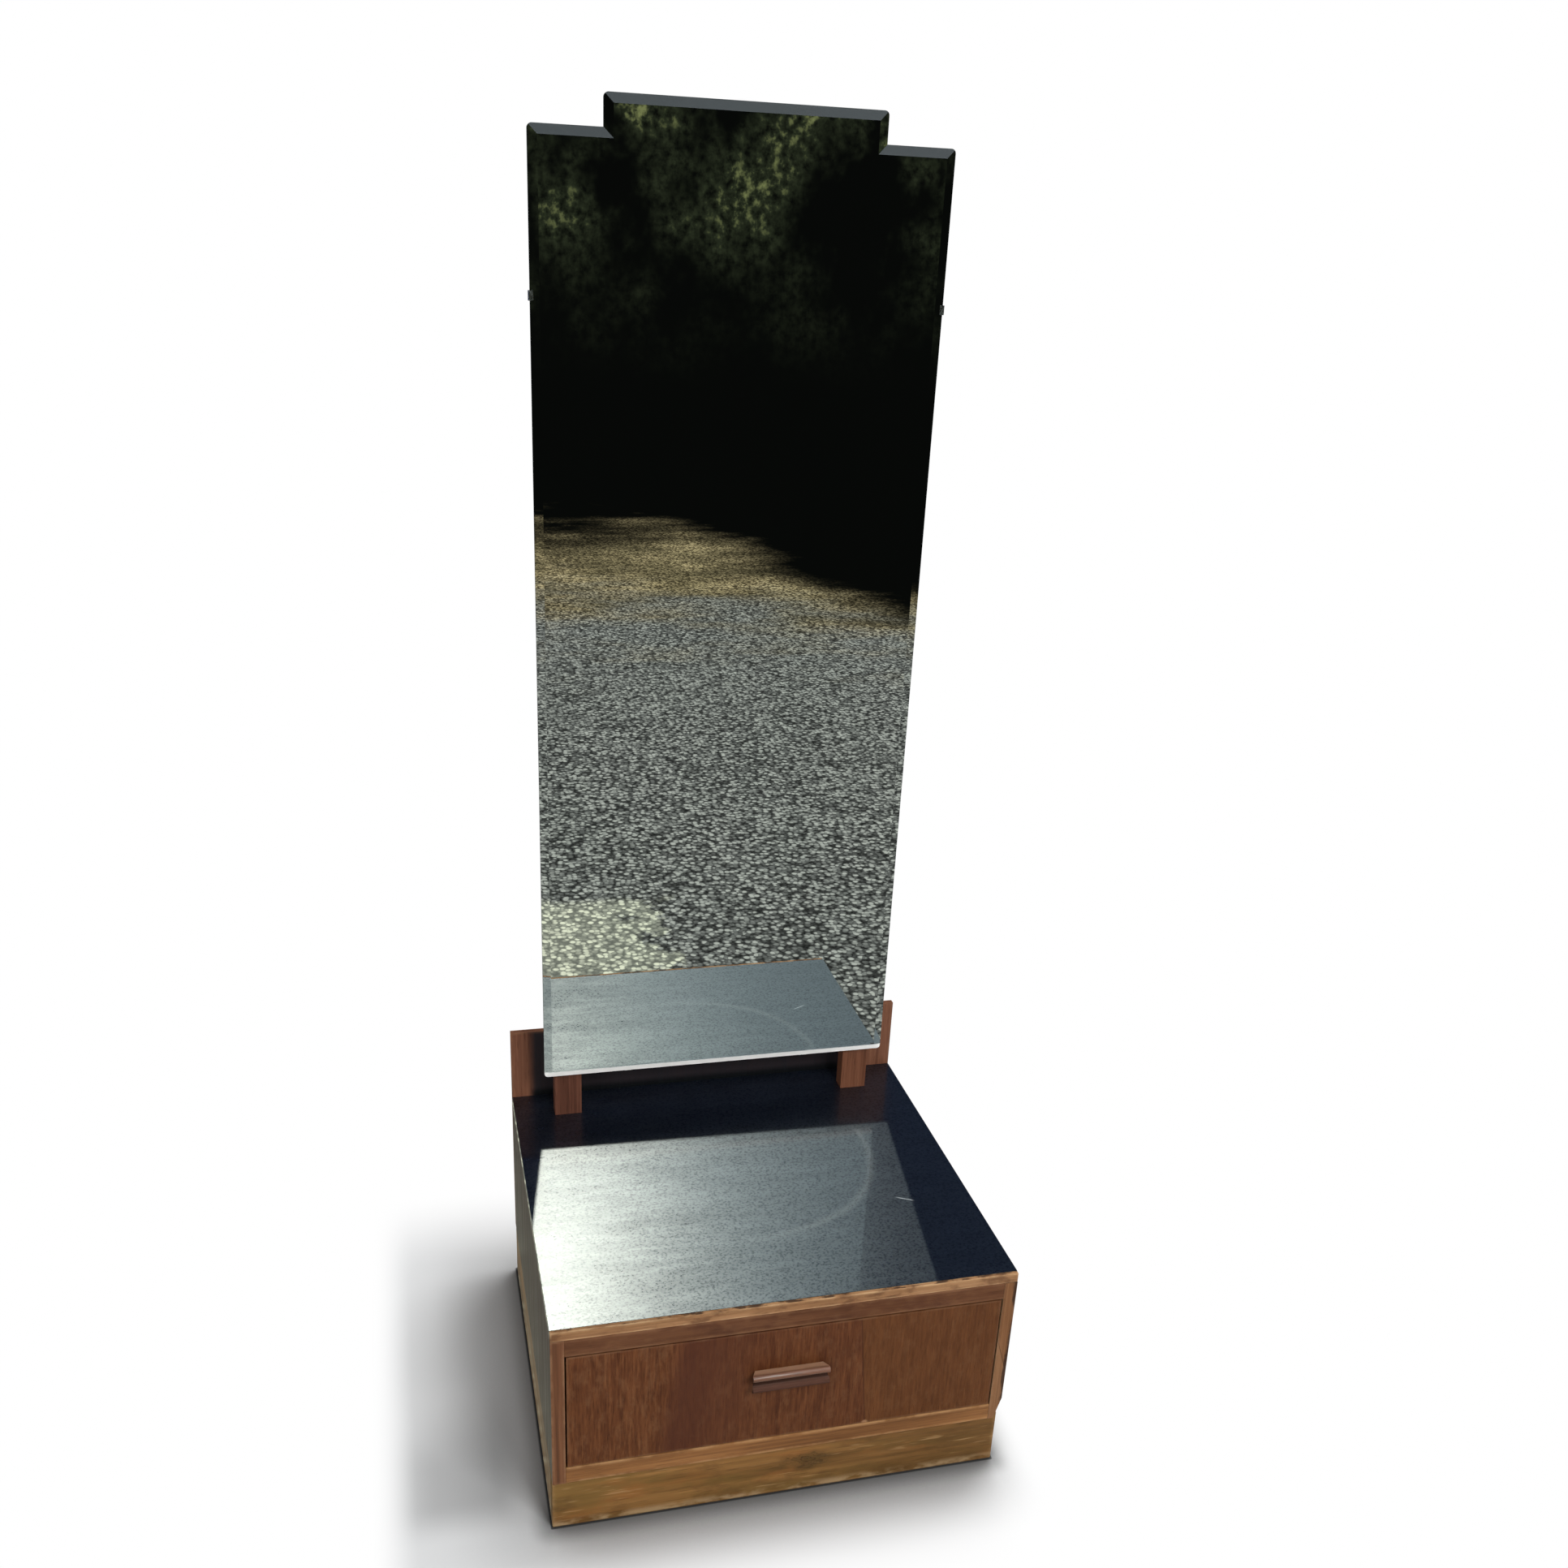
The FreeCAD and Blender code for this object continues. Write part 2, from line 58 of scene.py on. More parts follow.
def reckon(owner, how, first, second=0.0):
    """One sum on two numbers that may change over the surface."""
    return layer(owner, "Math", {0: first, 1: second}, operation=how)


def between(owner, share, first, second):
    """A number part of the way from the first to the second."""
    return layer(owner, "Mix", {0: share, 2: first, 3: second})


def blend(owner, share, under, over, how="MIX"):
    """Lays one colour over another, by a share that may change over the surface."""
    feeds = {0: share, 6: under, 7: over}
    return layer(owner, "Mix", feeds, out=2, data_type="RGBA", blend_type=how)


def shades(owner, feed, *stops):
    """Turns a number into the colours of a row of stops, each given as (place, colour)."""
    result = layer(owner, "ValToRGB", {"Fac": feed})
    strip = result.node.color_ramp
    while len(strip.elements) < len(stops):
        strip.elements.new(1.0)
    for element, (place, colour) in zip(strip.elements, stops):
        element.position = place
        element.color = (*colour, 1.0)
    return result


def band(owner, feed, start, end, low=0.0, high=1.0):
    """Fades from low to high while a number goes from start to end."""
    feeds = {"Value": feed, "From Min": start, "From Max": end, "To Min": low, "To Max": high}
    return layer(owner, "MapRange", feeds, interpolation_type="SMOOTHSTEP")


def own_place(owner, axis=None):
    """The place on the piece in its own metres: all three, or the one along x, y or z."""
    place = layer(owner, "TexCoord", out="Object")
    if axis is None:
        return place
    return layer(owner, "SeparateXYZ", {"Vector": place}, out="xyz".index(axis))


def facing(owner, axis):
    """How far the surface faces along x, y or z, from -1 to 1."""
    normal = layer(owner, "TexCoord", out="Normal")
    return layer(owner, "SeparateXYZ", {"Vector": normal}, out="xyz".index(axis))


def drawn_out(owner, along, fineness, stretch, seed=0.0, detail=4.0):
    """Mottling that is drawn out along one axis, as grain is; fineness is in marks to the metre."""
    scale = [fineness] * 3
    scale["xyz".index(along)] = fineness / stretch
    place = layer(owner, "Mapping", {"Vector": own_place(owner), "Scale": scale})
    feeds = {"Vector": place, "W": seed, "Scale": 1.0, "Detail": detail, "Roughness": 0.6}
    return layer(owner, "TexNoise", feeds, noise_dimensions="4D")


def new_finish(name, **numbers):
    """A finish whose even qualities are set on its own sockets."""
    finish = bpy.data.materials.new(name)
    finish.use_nodes = True
    shader = finish.node_tree.nodes["Principled BSDF"]
    for quality, number in numbers.items():
        shader.inputs[quality.replace("_", " ")].default_value = number
    return finish


def put(finish, quality, feed):
    """Leads a result into one quality of the finish."""
    shader = finish.node_tree.nodes["Principled BSDF"]
    finish.node_tree.links.new(feed, shader.inputs[quality])


def lay(finish, share, colour, how="MIX"):
    """Lays a further colour over a finish, as far as its share says."""
    shader = finish.node_tree.nodes["Principled BSDF"]
    under = shader.inputs["Base Color"].links[0].from_socket
    over = colour if isinstance(colour, bpy.types.NodeSocket) else (*colour, 1.0)
    put(finish, "Base Color", blend(finish, share, under, over, how))


def wood(
    name,
    along,
    dark,
    body,
    light,
    broad=24.0,
    fine=260.0,
    run=60.0,
    lined=0.45,
    pores=0.35,
    dull=0.5,
    gloss=0.2,
    seed=0.0,
):
    """A wood finish: broad streaks, finer lines and short sunk pores, all along one axis."""
    finish = new_finish(name, Specular_IOR_Level=gloss)
    streaks = drawn_out(finish, along, broad, 7.0, seed, 3.0)
    lines = drawn_out(finish, along, fine, run, seed + 2.0, 3.0)
    pits = drawn_out(finish, along, fine * 3.0, 20.0, seed + 5.0, 1.0)
    figure = between(finish, lined, streaks, lines)
    put(finish, "Base Color", shades(finish, figure, (0.36, dark), (0.5, body), (0.64, light)))
    open_pore = band(finish, pits, 0.57, 0.7)
    lay(finish, reckon(finish, "MULTIPLY", open_pore, pores), [part * 0.35 for part in dark])
    put(finish, "Roughness", band(finish, lines, 0.3, 0.7, dull - 0.08, dull + 0.12))
    sunk = reckon(finish, "SUBTRACT", lines, open_pore)
    put(finish, "Normal", layer(finish, "Bump", {"Height": sunk, "Strength": 0.25, "Distance": 0.0004}))
    cut_across = band(finish, reckon(finish, "ABSOLUTE", facing(finish, along)), 0.6, 0.9, 0.0, 0.55)
    lay(finish, cut_across, [part * 0.6 for part in dark])
    return finish


def from_edge(owner, name):
    """How far a place is from the nearest corner line of a straight-sided piece, in metres."""
    low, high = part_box(name)
    middle = (low + high) / 2
    off_middle = layer(owner, "VectorMath", {0: own_place(owner), 1: middle}, operation="SUBTRACT")
    reach = layer(owner, "VectorMath", {0: off_middle}, operation="ABSOLUTE")
    inside = layer(owner, "VectorMath", {0: (high - low) / 2, 1: reach}, operation="SUBTRACT")
    x, y, z = layer(owner, "SeparateXYZ", {"Vector": inside}).node.outputs
    nearer = reckon(owner, "MINIMUM", x, y)
    farther = reckon(owner, "MAXIMUM", x, y)
    return reckon(owner, "MAXIMUM", nearer, reckon(owner, "MINIMUM", farther, z))


def rub(finish, name, width, bare, seed=0.0, most=0.8):
    """Wears the finish off in patches along the corner lines of a piece."""
    patchy = band(finish, drawn_out(finish, "x", 45.0, 1.5, seed + 11.0), 0.38, 0.62, 0.1, most)
    near = band(finish, from_edge(finish, name), 0.0, width, 1.0, 0.0)
    lay(finish, reckon(finish, "MULTIPLY", near, patchy), bare)


def ease(piece, width):
    """Rubs the sharp corners of a piece down, as sandpaper and years of use do."""
    weld = piece.modifiers.new("one skin", "WELD")
    weld.merge_threshold = 0.00001
    flat = piece.modifiers.new("flat faces", "DECIMATE")
    flat.decimate_type = "DISSOLVE"
    flat.angle_limit = math.radians(1.0)
    round_over = piece.modifiers.new("eased edges", "BEVEL")
    round_over.width = width
    round_over.segments = 2
    round_over.limit_method = "ANGLE"
    round_over.angle_limit = math.radians(40.0)
    round_over.miter_outer = "MITER_ARC"


def dress(finish, *names, eased=0.0005):
    """Gives pieces of the frame one finish, and eases their corners."""
    for name in names:
        piece = nodes[name]
        piece.data.materials.clear()
        piece.data.materials.append(finish)
        if eased:
            ease(piece, eased)


OAK = {"dark": (0.105, 0.049, 0.012), "body": (0.218, 0.105, 0.03), "light": (0.335, 0.168, 0.053)}
PINE = {"dark": (0.3, 0.17, 0.075), "body": (0.44, 0.28, 0.14), "light": (0.53, 0.36, 0.19)}
BARE_OAK = (0.36, 0.22, 0.1)
KNOT_X, KNOT_Z = 0.03, 0.046
KNOT_HALF = 0.02
KNOT_RINGS = 1500.0
KICKED_HEIGHT = 0.014
FOOT_SHADE_HEIGHT = 0.003
SIDE_FOOT_SHADE = 0.008
plinth_oak = wood("plinth oak", "x", **OAK, broad=36.0, fine=190.0, dull=0.65, seed=1.0)
olive = band(plinth_oak, drawn_out(plinth_oak, "x", 30.0, 5.0, 3.0), 0.45, 0.62, 0.0, 0.6)
lay(plinth_oak, olive, (0.15, 0.09, 0.022))
shaded_end = band(plinth_oak, own_place(plinth_oak, "x"), -0.1, 0.2, 0.0, 0.55)
lay(plinth_oak, shaded_end, (0.095, 0.048, 0.015))
blotches = band(plinth_oak, drawn_out(plinth_oak, "x", 34.0, 2.2, 5.0), 0.48, 0.66, 0.0, 0.6)
lay(plinth_oak, blotches, (0.1, 0.047, 0.014))
ruddy = band(plinth_oak, drawn_out(plinth_oak, "x", 28.0, 3.5, 7.0), 0.52, 0.68, 0.0, 0.5)
lay(plinth_oak, ruddy, (0.29, 0.11, 0.028))
scuffs = band(plinth_oak, drawn_out(plinth_oak, "x", 230.0, 12.0, 9.0, 2.0), 0.6, 0.74, 0.0, 0.42)
lay(plinth_oak, scuffs, (0.46, 0.28, 0.125))
knot_off = layer(
    plinth_oak,
    "VectorMath",
    {0: own_place(plinth_oak), 1: (KNOT_X, 0.0, KNOT_Z)},
    operation="SUBTRACT",
)
knot_oval = layer(plinth_oak, "VectorMath", {0: knot_off, 1: (0.6, 0.0, 1.0)}, operation="MULTIPLY")
knot_reach = layer(plinth_oak, "VectorMath", {0: knot_oval}, out="Value", operation="LENGTH")
knot_wobble = band(plinth_oak, drawn_out(plinth_oak, "x", 70.0, 2.5, 8.0), 0.3, 0.7, -0.006, 0.006)
knot_edge = reckon(plinth_oak, "ADD", knot_reach, knot_wobble)
knot_heart = band(plinth_oak, knot_edge, 0.2 * KNOT_HALF, KNOT_HALF, 0.8, 0.0)
lay(plinth_oak, knot_heart, (0.085, 0.046, 0.014))
knot_rings = reckon(plinth_oak, "SINE", reckon(plinth_oak, "MULTIPLY", knot_edge, KNOT_RINGS))
ring_dark = band(plinth_oak, knot_rings, 0.2, 1.0, 0.0, 0.6)
ring_fade = band(plinth_oak, knot_edge, 0.3 * KNOT_HALF, 0.8 * KNOT_HALF, 1.0, 0.0)
lay(plinth_oak, reckon(plinth_oak, "MULTIPLY", ring_dark, ring_fade), (0.04, 0.02, 0.007))
rub(plinth_oak, "plinth_front", 0.006, BARE_OAK, most=0.45)
kicked = band(plinth_oak, drawn_out(plinth_oak, "x", 60.0, 2.0, 19.0), 0.4, 0.6, 0.0, 0.75)
foot_strip = band(plinth_oak, own_place(plinth_oak, "z"), FOOT_SHADE_HEIGHT, KICKED_HEIGHT, 1.0, 0.0)
lay(plinth_oak, reckon(plinth_oak, "MULTIPLY", kicked, foot_strip), (0.44, 0.3, 0.16))
# Painted contact shade: a thin dark line along the very foot of the plinth front.
painted_foot_shade = band(plinth_oak, own_place(plinth_oak, "z"), 0.0008, FOOT_SHADE_HEIGHT, 0.85, 0.0)
lay(plinth_oak, painted_foot_shade, (0.03, 0.018, 0.009))
dress(plinth_oak, "plinth_front", eased=0.0015)
side_oak = wood("plinth side oak", "y", **OAK, broad=36.0, fine=190.0, dull=0.45, gloss=0.5, seed=3.0)
# Painted contact shade: the plinth sides darken towards the floor.
painted_side_foot_shade = band(side_oak, own_place(side_oak, "z"), 0.0, SIDE_FOOT_SHADE, 0.6, 0.0)
lay(side_oak, painted_side_foot_shade, (0.05, 0.03, 0.014))
dress(side_oak, "plinth_left", "plinth_right", eased=0.0015)
pine_across = wood("pine along the cabinet's width", "x", **PINE, pores=0.12, dull=0.7)
dress(pine_across, "plinth_back")
pine_upright = wood("pine with upright grain", "z", **PINE, pores=0.12, dull=0.7)
dress(pine_upright, "plinth_blocks")


# The bottom frame carries the drawer: a show rail in front, two runners, and a back rail,
# tongued and grooved round a thin panel that keeps dust out of the plinth.
# Only the front rail is seen, and years of drawers and dusters have rubbed its polish off.
rail_oak = wood(
    "bottom rail oak",
    "x",
    (0.13, 0.052, 0.016),
    (0.24, 0.104, 0.034),
    (0.35, 0.165, 0.058),
    dull=0.6,
    seed=4.0,
)
rub(rail_oak, "bottom_rail", 0.005, (0.42, 0.23, 0.1), seed=2.0)
dress(rail_oak, "bottom_rail", eased=0.0008)
pine_deep = wood("pine along the cabinet's depth", "y", **PINE, pores=0.12, dull=0.7)
dress(pine_deep, "runner_left", "runner_right")
dress(pine_across, "bottom_back_rail")
plain_ply = wood(
    "bare plywood", "x", (0.26, 0.15, 0.07), (0.36, 0.23, 0.12), (0.43, 0.29, 0.16), pores=0.2, dull=0.7
)
dress(plain_ply, "dust_panel", eased=0)


# The sides are boards veneered in walnut with upright grain on the outside and bare inside.
# Their front edges are faced with strips of the same wood and frame the drawer at left and right.
# The right strip is paler, was pieced out with a slanted scarf, and is chipped at its foot.
SIDE_VENEER = {"dark": (0.036, 0.021, 0.015), "body": (0.066, 0.041, 0.03), "light": (0.098, 0.063, 0.047)}
BARE_BOARD = (0.3, 0.19, 0.1)
CHIP_HEAD = 0.106
CHIP_WIDTH = 0.0085
CHIP_DEPTH = 0.02
CHIP_CLEAR = 0.001
SCARF_HEIGHT = 0.166
SCARF_SLANT = 3.3
SCARF_GLUE = 0.0018
strips = {
    "left_side": ((0.08, 0.028, 0.01), (0.13, 0.046, 0.017), (0.17, 0.066, 0.026)),
    "right_side": ((0.12, 0.047, 0.0155), (0.175, 0.071, 0.024), (0.23, 0.102, 0.038)),
}
for name, strip_tones in strips.items():
    low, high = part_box(name)
    finish_name = name.replace("_", " ") + " walnut"
    side_walnut = wood(finish_name, "z", **SIDE_VENEER, dull=0.45, gloss=0.32, seed=low.x * 30)
    outward = math.copysign(1.0, low.x + high.x)
    facing_out = reckon(side_walnut, "MULTIPLY", facing(side_walnut, "x"), outward)
    lay(side_walnut, band(side_walnut, facing_out, -0.6, -0.9), BARE_BOARD)
    strip_lines = drawn_out(side_walnut, "z", 300.0, 60.0, low.x * 10, 3.0)
    strip_colour = shades(side_walnut, strip_lines, *zip((0.35, 0.5, 0.65), strip_tones))
    on_strip = band(side_walnut, facing(side_walnut, "y"), -0.5, -0.8)
    lay(side_walnut, on_strip, strip_colour)
    if name == "right_side":
        from_inside = reckon(side_walnut, "SUBTRACT", own_place(side_walnut, "x"), low.x)
        scarf = reckon(side_walnut, "MULTIPLY_ADD", from_inside, -SCARF_SLANT)
        scarf.node.inputs[2].default_value = SCARF_HEIGHT + SCARF_SLANT * (high.x - low.x) / 2
        above = reckon(side_walnut, "SUBTRACT", own_place(side_walnut, "z"), scarf)
        strip_face = band(side_walnut, facing(side_walnut, "y"), -0.5, -0.8, 0.0, 0.45)
        pieced = reckon(side_walnut, "MULTIPLY", strip_face, band(side_walnut, above, -0.001, 0.0))
        lay(side_walnut, reckon(side_walnut, "SUBTRACT", strip_face, pieced), (0.26, 0.13, 0.058))
        off_glue = reckon(side_walnut, "ABSOLUTE", above)
        seam = band(side_walnut, off_glue, SCARF_GLUE / 3, SCARF_GLUE, 0.8, 0.0)
        lay(side_walnut, reckon(side_walnut, "MULTIPLY", seam, on_strip), (0.03, 0.014, 0.008))
    rub(side_walnut, name, 0.004, (0.3, 0.16, 0.08), seed=low.x * 40, most=0.5)
    if name == "right_side":
        # The right strip is darker in a ragged band along its outer edge.
        dark_edge_mottle = drawn_out(side_walnut, "z", 70.0, 2.5, 31.0)
        dark_edge_sway = band(side_walnut, dark_edge_mottle, 0.35, 0.65, -0.0025, 0.0025)
        from_outside = reckon(side_walnut, "SUBTRACT", high.x, own_place(side_walnut, "x"))
        dark_edge_reach = reckon(side_walnut, "ADD", from_outside, dark_edge_sway)
        dark_outer_band = band(side_walnut, dark_edge_reach, 0.001, 0.004, 0.85, 0.0)
        lay(side_walnut, reckon(side_walnut, "MULTIPLY", dark_outer_band, on_strip), (0.03, 0.014, 0.008))
        chip_out = high.x + CHIP_CLEAR
        chip_foot = low.z - CHIP_CLEAR
        chip_outline = ((chip_out, CHIP_HEAD), (high.x - CHIP_WIDTH, chip_foot), (chip_out, chip_foot))
        chip_ends = (low.y - CHIP_CLEAR, low.y + CHIP_DEPTH)
        chip_corners = [(x, y, z) for y in chip_ends for x, z in chip_outline]
        chip_mesh = bpy.data.meshes.new("chip")
        chip_faces = [(0, 1, 2), (5, 4, 3), (0, 3, 4, 1), (1, 4, 5, 2), (2, 5, 3, 0)]
        chip_mesh.from_pydata(chip_corners, [], chip_faces)
        chip = bpy.data.objects.new("chip", chip_mesh)
        bpy.context.scene.collection.objects.link(chip)
        chip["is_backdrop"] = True
        chip.hide_render = True
        broken_off = nodes[name].modifiers.new("broken corner", "BOOLEAN")
        broken_off.operation = "DIFFERENCE"
        broken_off.object = chip
        within = band(side_walnut, from_outside, 0.0002, 0.0005)
        torn_face = band(side_walnut, facing(side_walnut, "x"), 0.3, 0.6)
        lay(side_walnut, reckon(side_walnut, "MULTIPLY", within, torn_face), (0.26, 0.15, 0.08))
    dress(side_walnut, name, eased=0.0008)


# The top rail spans the sides above the drawer, and the kickers behind it keep an open drawer level.
# The hanging rail at the back takes the screws of the two uprights.
rail_walnut = wood(
    "top rail walnut",
    "x",
    (0.062, 0.0215, 0.008),
    (0.104, 0.038, 0.0145),
    (0.148, 0.06, 0.025),
    dull=0.5,
    seed=14.0,
)
rail_dark = band(rail_walnut, drawn_out(rail_walnut, "x", 46.0, 2.4, 27.0, 5.0), 0.48, 0.68, 0.0, 0.55)
lay(rail_walnut, rail_dark, (0.062, 0.021, 0.01))
rail_bloom = band(rail_walnut, drawn_out(rail_walnut, "x", 90.0, 2.0, 25.0, 5.0), 0.46, 0.68, 0.0, 0.45)
lay(rail_walnut, rail_bloom, (0.165, 0.07, 0.029))
rub(rail_walnut, "top_rail", 0.004, (0.24, 0.12, 0.06), seed=5.0, most=0.5)
dress(rail_walnut, "top_rail", eased=0.0006)
dress(pine_deep, "kicker_left", "kicker_right")
dress(pine_across, "hanging_rail")


# The back panel is a thin stained board, screwed on from behind.
# It stands up above the top as a low upstand behind the mirror's foot.
# Behind the mirror its front is painted near-black as the mirror's shadow, blacker in the foot corner.
MIRROR_SHADE_MIDDLE = -0.011
MIRROR_SHADE_HALF = 0.235
CORNER_FOOT, CORNER_HEAD = 0.288, 0.3
back_stain = wood(
    "stained back board",
    "z",
    (0.115, 0.045, 0.025),
    (0.205, 0.084, 0.047),
    (0.27, 0.118, 0.066),
    dull=0.55,
    seed=21.0,
)
# Painted shadow of the mirror: the front between the posts is laid near-black, a little left of middle.
from_shade = reckon(back_stain, "SUBTRACT", own_place(back_stain, "x"), MIRROR_SHADE_MIDDLE)
off_shade = reckon(back_stain, "ABSOLUTE", from_shade)
painted_shade_across = band(back_stain, off_shade, MIRROR_SHADE_HALF - 0.013, MIRROR_SHADE_HALF, 0.94, 0.0)
on_front = band(back_stain, facing(back_stain, "y"), -0.5, -0.8)
painted_mirror_shade = reckon(back_stain, "MULTIPLY", painted_shade_across, on_front)
lay(back_stain, painted_mirror_shade, (0.017, 0.018, 0.024))
# Painted shade: blacker still in the corner where the upstand meets the top.
painted_corner_shade = band(back_stain, own_place(back_stain, "z"), CORNER_FOOT, CORNER_HEAD, 1.0, 0.0)
lay(back_stain, reckon(back_stain, "MULTIPLY", painted_mirror_shade, painted_corner_shade), (0.002, 0.003, 0.004))
rub(back_stain, "back_panel", 0.004, (0.26, 0.13, 0.07), seed=7.0, most=0.5)
dress(back_stain, "back_panel", eased=0.0008)


# The top is a board in black polish, rubbed to a gloss and dulled by fine dust and wiping.
# It is screwed up through the kickers, and slotted at the back for the uprights.
# A duster has left curved and straight marks, and something hard one short scratch.
WIPE_X, WIPE_Y, WIPE_RADIUS = 0.006, 0.05, 0.165
WIPE_HALF = 0.0085
SCRATCH_X, SCRATCH_Y, SCRATCH_HALF = 0.184, -0.074, 0.012
SCRATCH_LEAN = 0.5
SCRATCH_WIDTH = 0.0013
black_polish = new_finish("black polish", Coat_Weight=0.7, Coat_Roughness=0.02)
film = drawn_out(black_polish, "x", 60.0, 3.0, 2.0)
film_tone = shades(black_polish, film, (0.3, (0.0015, 0.0022, 0.0042)), (0.75, (0.003, 0.0042, 0.0075)))
put(black_polish, "Base Color", film_tone)
specks = layer(black_polish, "TexVoronoi", {"Vector": own_place(black_polish), "Scale": 120.0})
speck_pick = band(black_polish, drawn_out(black_polish, "x", 110.0, 1.0, 4.0, 1.0), 0.64, 0.7)
speck_spot = band(black_polish, specks, 0.06, 0.12, 0.35, 0.0)
lay(black_polish, reckon(black_polish, "MULTIPLY", speck_spot, speck_pick), (0.16, 0.17, 0.18))
scratch_off_x = reckon(black_polish, "SUBTRACT", own_place(black_polish, "x"), SCRATCH_X)
scratch_off_y = reckon(black_polish, "SUBTRACT", own_place(black_polish, "y"), SCRATCH_Y)
scratch_run = reckon(black_polish, "MULTIPLY", scratch_off_x, SCRATCH_LEAN)
scratch_aside = reckon(black_polish, "ABSOLUTE", reckon(black_polish, "ADD", scratch_off_y, scratch_run))
scratch_along = reckon(black_polish, "ABSOLUTE", scratch_off_x)
scratch_line = band(black_polish, scratch_aside, 0.0004, SCRATCH_WIDTH, 0.4, 0.0)
scratch_end = band(black_polish, scratch_along, SCRATCH_HALF / 2, SCRATCH_HALF, 1.0, 0.0)
lay(black_polish, reckon(black_polish, "MULTIPLY", scratch_line, scratch_end), (0.3, 0.32, 0.33))
wipe_middle = (WIPE_X, WIPE_Y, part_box("top_board")[1].z)
wipe_reach = layer(
    black_polish,
    "VectorMath",
    {0: own_place(black_polish), 1: wipe_middle},
    out="Value",
    operation="DISTANCE",
)
wipe_wave = band(black_polish, drawn_out(black_polish, "x", 9.0, 1.0, 12.0, 2.0), 0.3, 0.7, -0.004, 0.004)
wipe_swung = reckon(black_polish, "ADD", wipe_reach, wipe_wave)
wipe_off = reckon(black_polish, "ABSOLUTE", reckon(black_polish, "SUBTRACT", wipe_swung, WIPE_RADIUS))
wipe_line = band(black_polish, wipe_off, 0.0, WIPE_HALF, 1.0, 0.0)
wipe_start = band(black_polish, own_place(black_polish, "x"), -0.08, 0.08)
wipe_end = band(black_polish, own_place(black_polish, "y"), 0.07, 0.1, 1.0, 0.0)
wiped = reckon(black_polish, "MULTIPLY", wipe_line, reckon(black_polish, "MULTIPLY", wipe_start, wipe_end))
lay(black_polish, wiped, (0.021, 0.023, 0.024))
dust = drawn_out(black_polish, "x", 380.0, 1.2, 6.0, 2.0)
dust_shine = band(black_polish, dust, 0.3, 0.58, 0.2, 0.545)
wipe_grain = drawn_out(black_polish, "x", 110.0, 14.0, 9.0, 3.0)
wiping = band(black_polish, wipe_grain, 0.3, 0.7, 0.9, 1.1)
smears = drawn_out(black_polish, "x", 44.0, 4.0, 13.0, 5.0)
smeared_left = band(black_polish, own_place(black_polish, "x"), -0.2, 0.04, 1.0, 0.1)
smear_bright = band(black_polish, smears, 0.34, 0.66, 0.72, 1.32)
smear_shine = between(black_polish, smeared_left, 1.0, smear_bright)
smear_rough = band(black_polish, smears, 0.34, 0.66, 0.925, 1.075)
smear_dull = between(black_polish, smeared_left, 1.0, smear_rough)
dust_dull = band(black_polish, dust, 0.3, 0.7, 0.285, 0.33)
put(black_polish, "Roughness", reckon(black_polish, "MULTIPLY", dust_dull, smear_dull))
wipe_shine = reckon(black_polish, "MULTIPLY", wiping, smear_shine)
put(black_polish, "Specular IOR Level", reckon(black_polish, "MULTIPLY", dust_shine, wipe_shine))
# Painted highlight colour: the polish's shine is tinted cream at the left and cool blue at the right.
across = band(black_polish, own_place(black_polish, "x"), -0.25, 0.2)
painted_highlight_tint = shades(
    black_polish,
    across,
    (0.0, (0.96, 0.93, 0.84)),
    (0.5, (0.87, 0.95, 0.96)),
    (1.0, (0.82, 0.94, 1.0)),
)
put(black_polish, "Specular Tint", painted_highlight_tint)
dress(black_polish, "top_board", eased=0.0006)


# The lipping is a strip of solid wood glued along the front edge of the top.
# Hands and sleeves have worn it down to pale bare wood; flecks of dark polish are left on its upper face.
bare_lipping = wood(
    "worn lipping",
    "x",
    (0.15, 0.065, 0.026),
    (0.28, 0.14, 0.06),
    (0.38, 0.21, 0.1),
    broad=40.0,
    dull=0.55,
    seed=30.0,
)
left_polish = band(bare_lipping, drawn_out(bare_lipping, "x", 60.0, 2.2, 15.0), 0.47, 0.62, 0.0, 0.7)
lay(bare_lipping, left_polish, (0.1, 0.04, 0.016))
rub(bare_lipping, "top_lipping", 0.003, (0.5, 0.32, 0.17), seed=9.0)
upper_face = band(bare_lipping, facing(bare_lipping, "z"), 0.75, 0.95, 0.0, 0.9)
kept_flecks = band(bare_lipping, drawn_out(bare_lipping, "x", 90.0, 2.0, 17.0), 0.46, 0.58)
lay(bare_lipping, reckon(bare_lipping, "MULTIPLY", upper_face, kept_flecks), (0.035, 0.018, 0.011))
dress(bare_lipping, "top_lipping", eased=0.0009)


# Two plain posts carry the mirror. They pass through slots in the top
# and are screwed to the hanging rail; the left one is darker and redder than the right.
posts = {
    "left_upright": ((0.08, 0.03, 0.018), (0.135, 0.052, 0.032), (0.175, 0.075, 0.046)),
    "right_upright": ((0.115, 0.043, 0.022), (0.185, 0.073, 0.039), (0.24, 0.104, 0.057)),
}
for name, post_tones in posts.items():
    finish_name = name.replace("_", " ") + " walnut"
    post_walnut = wood(finish_name, "z", *post_tones, seed=37.0 + len(name))
    dress(post_walnut, name, eased=0.001)


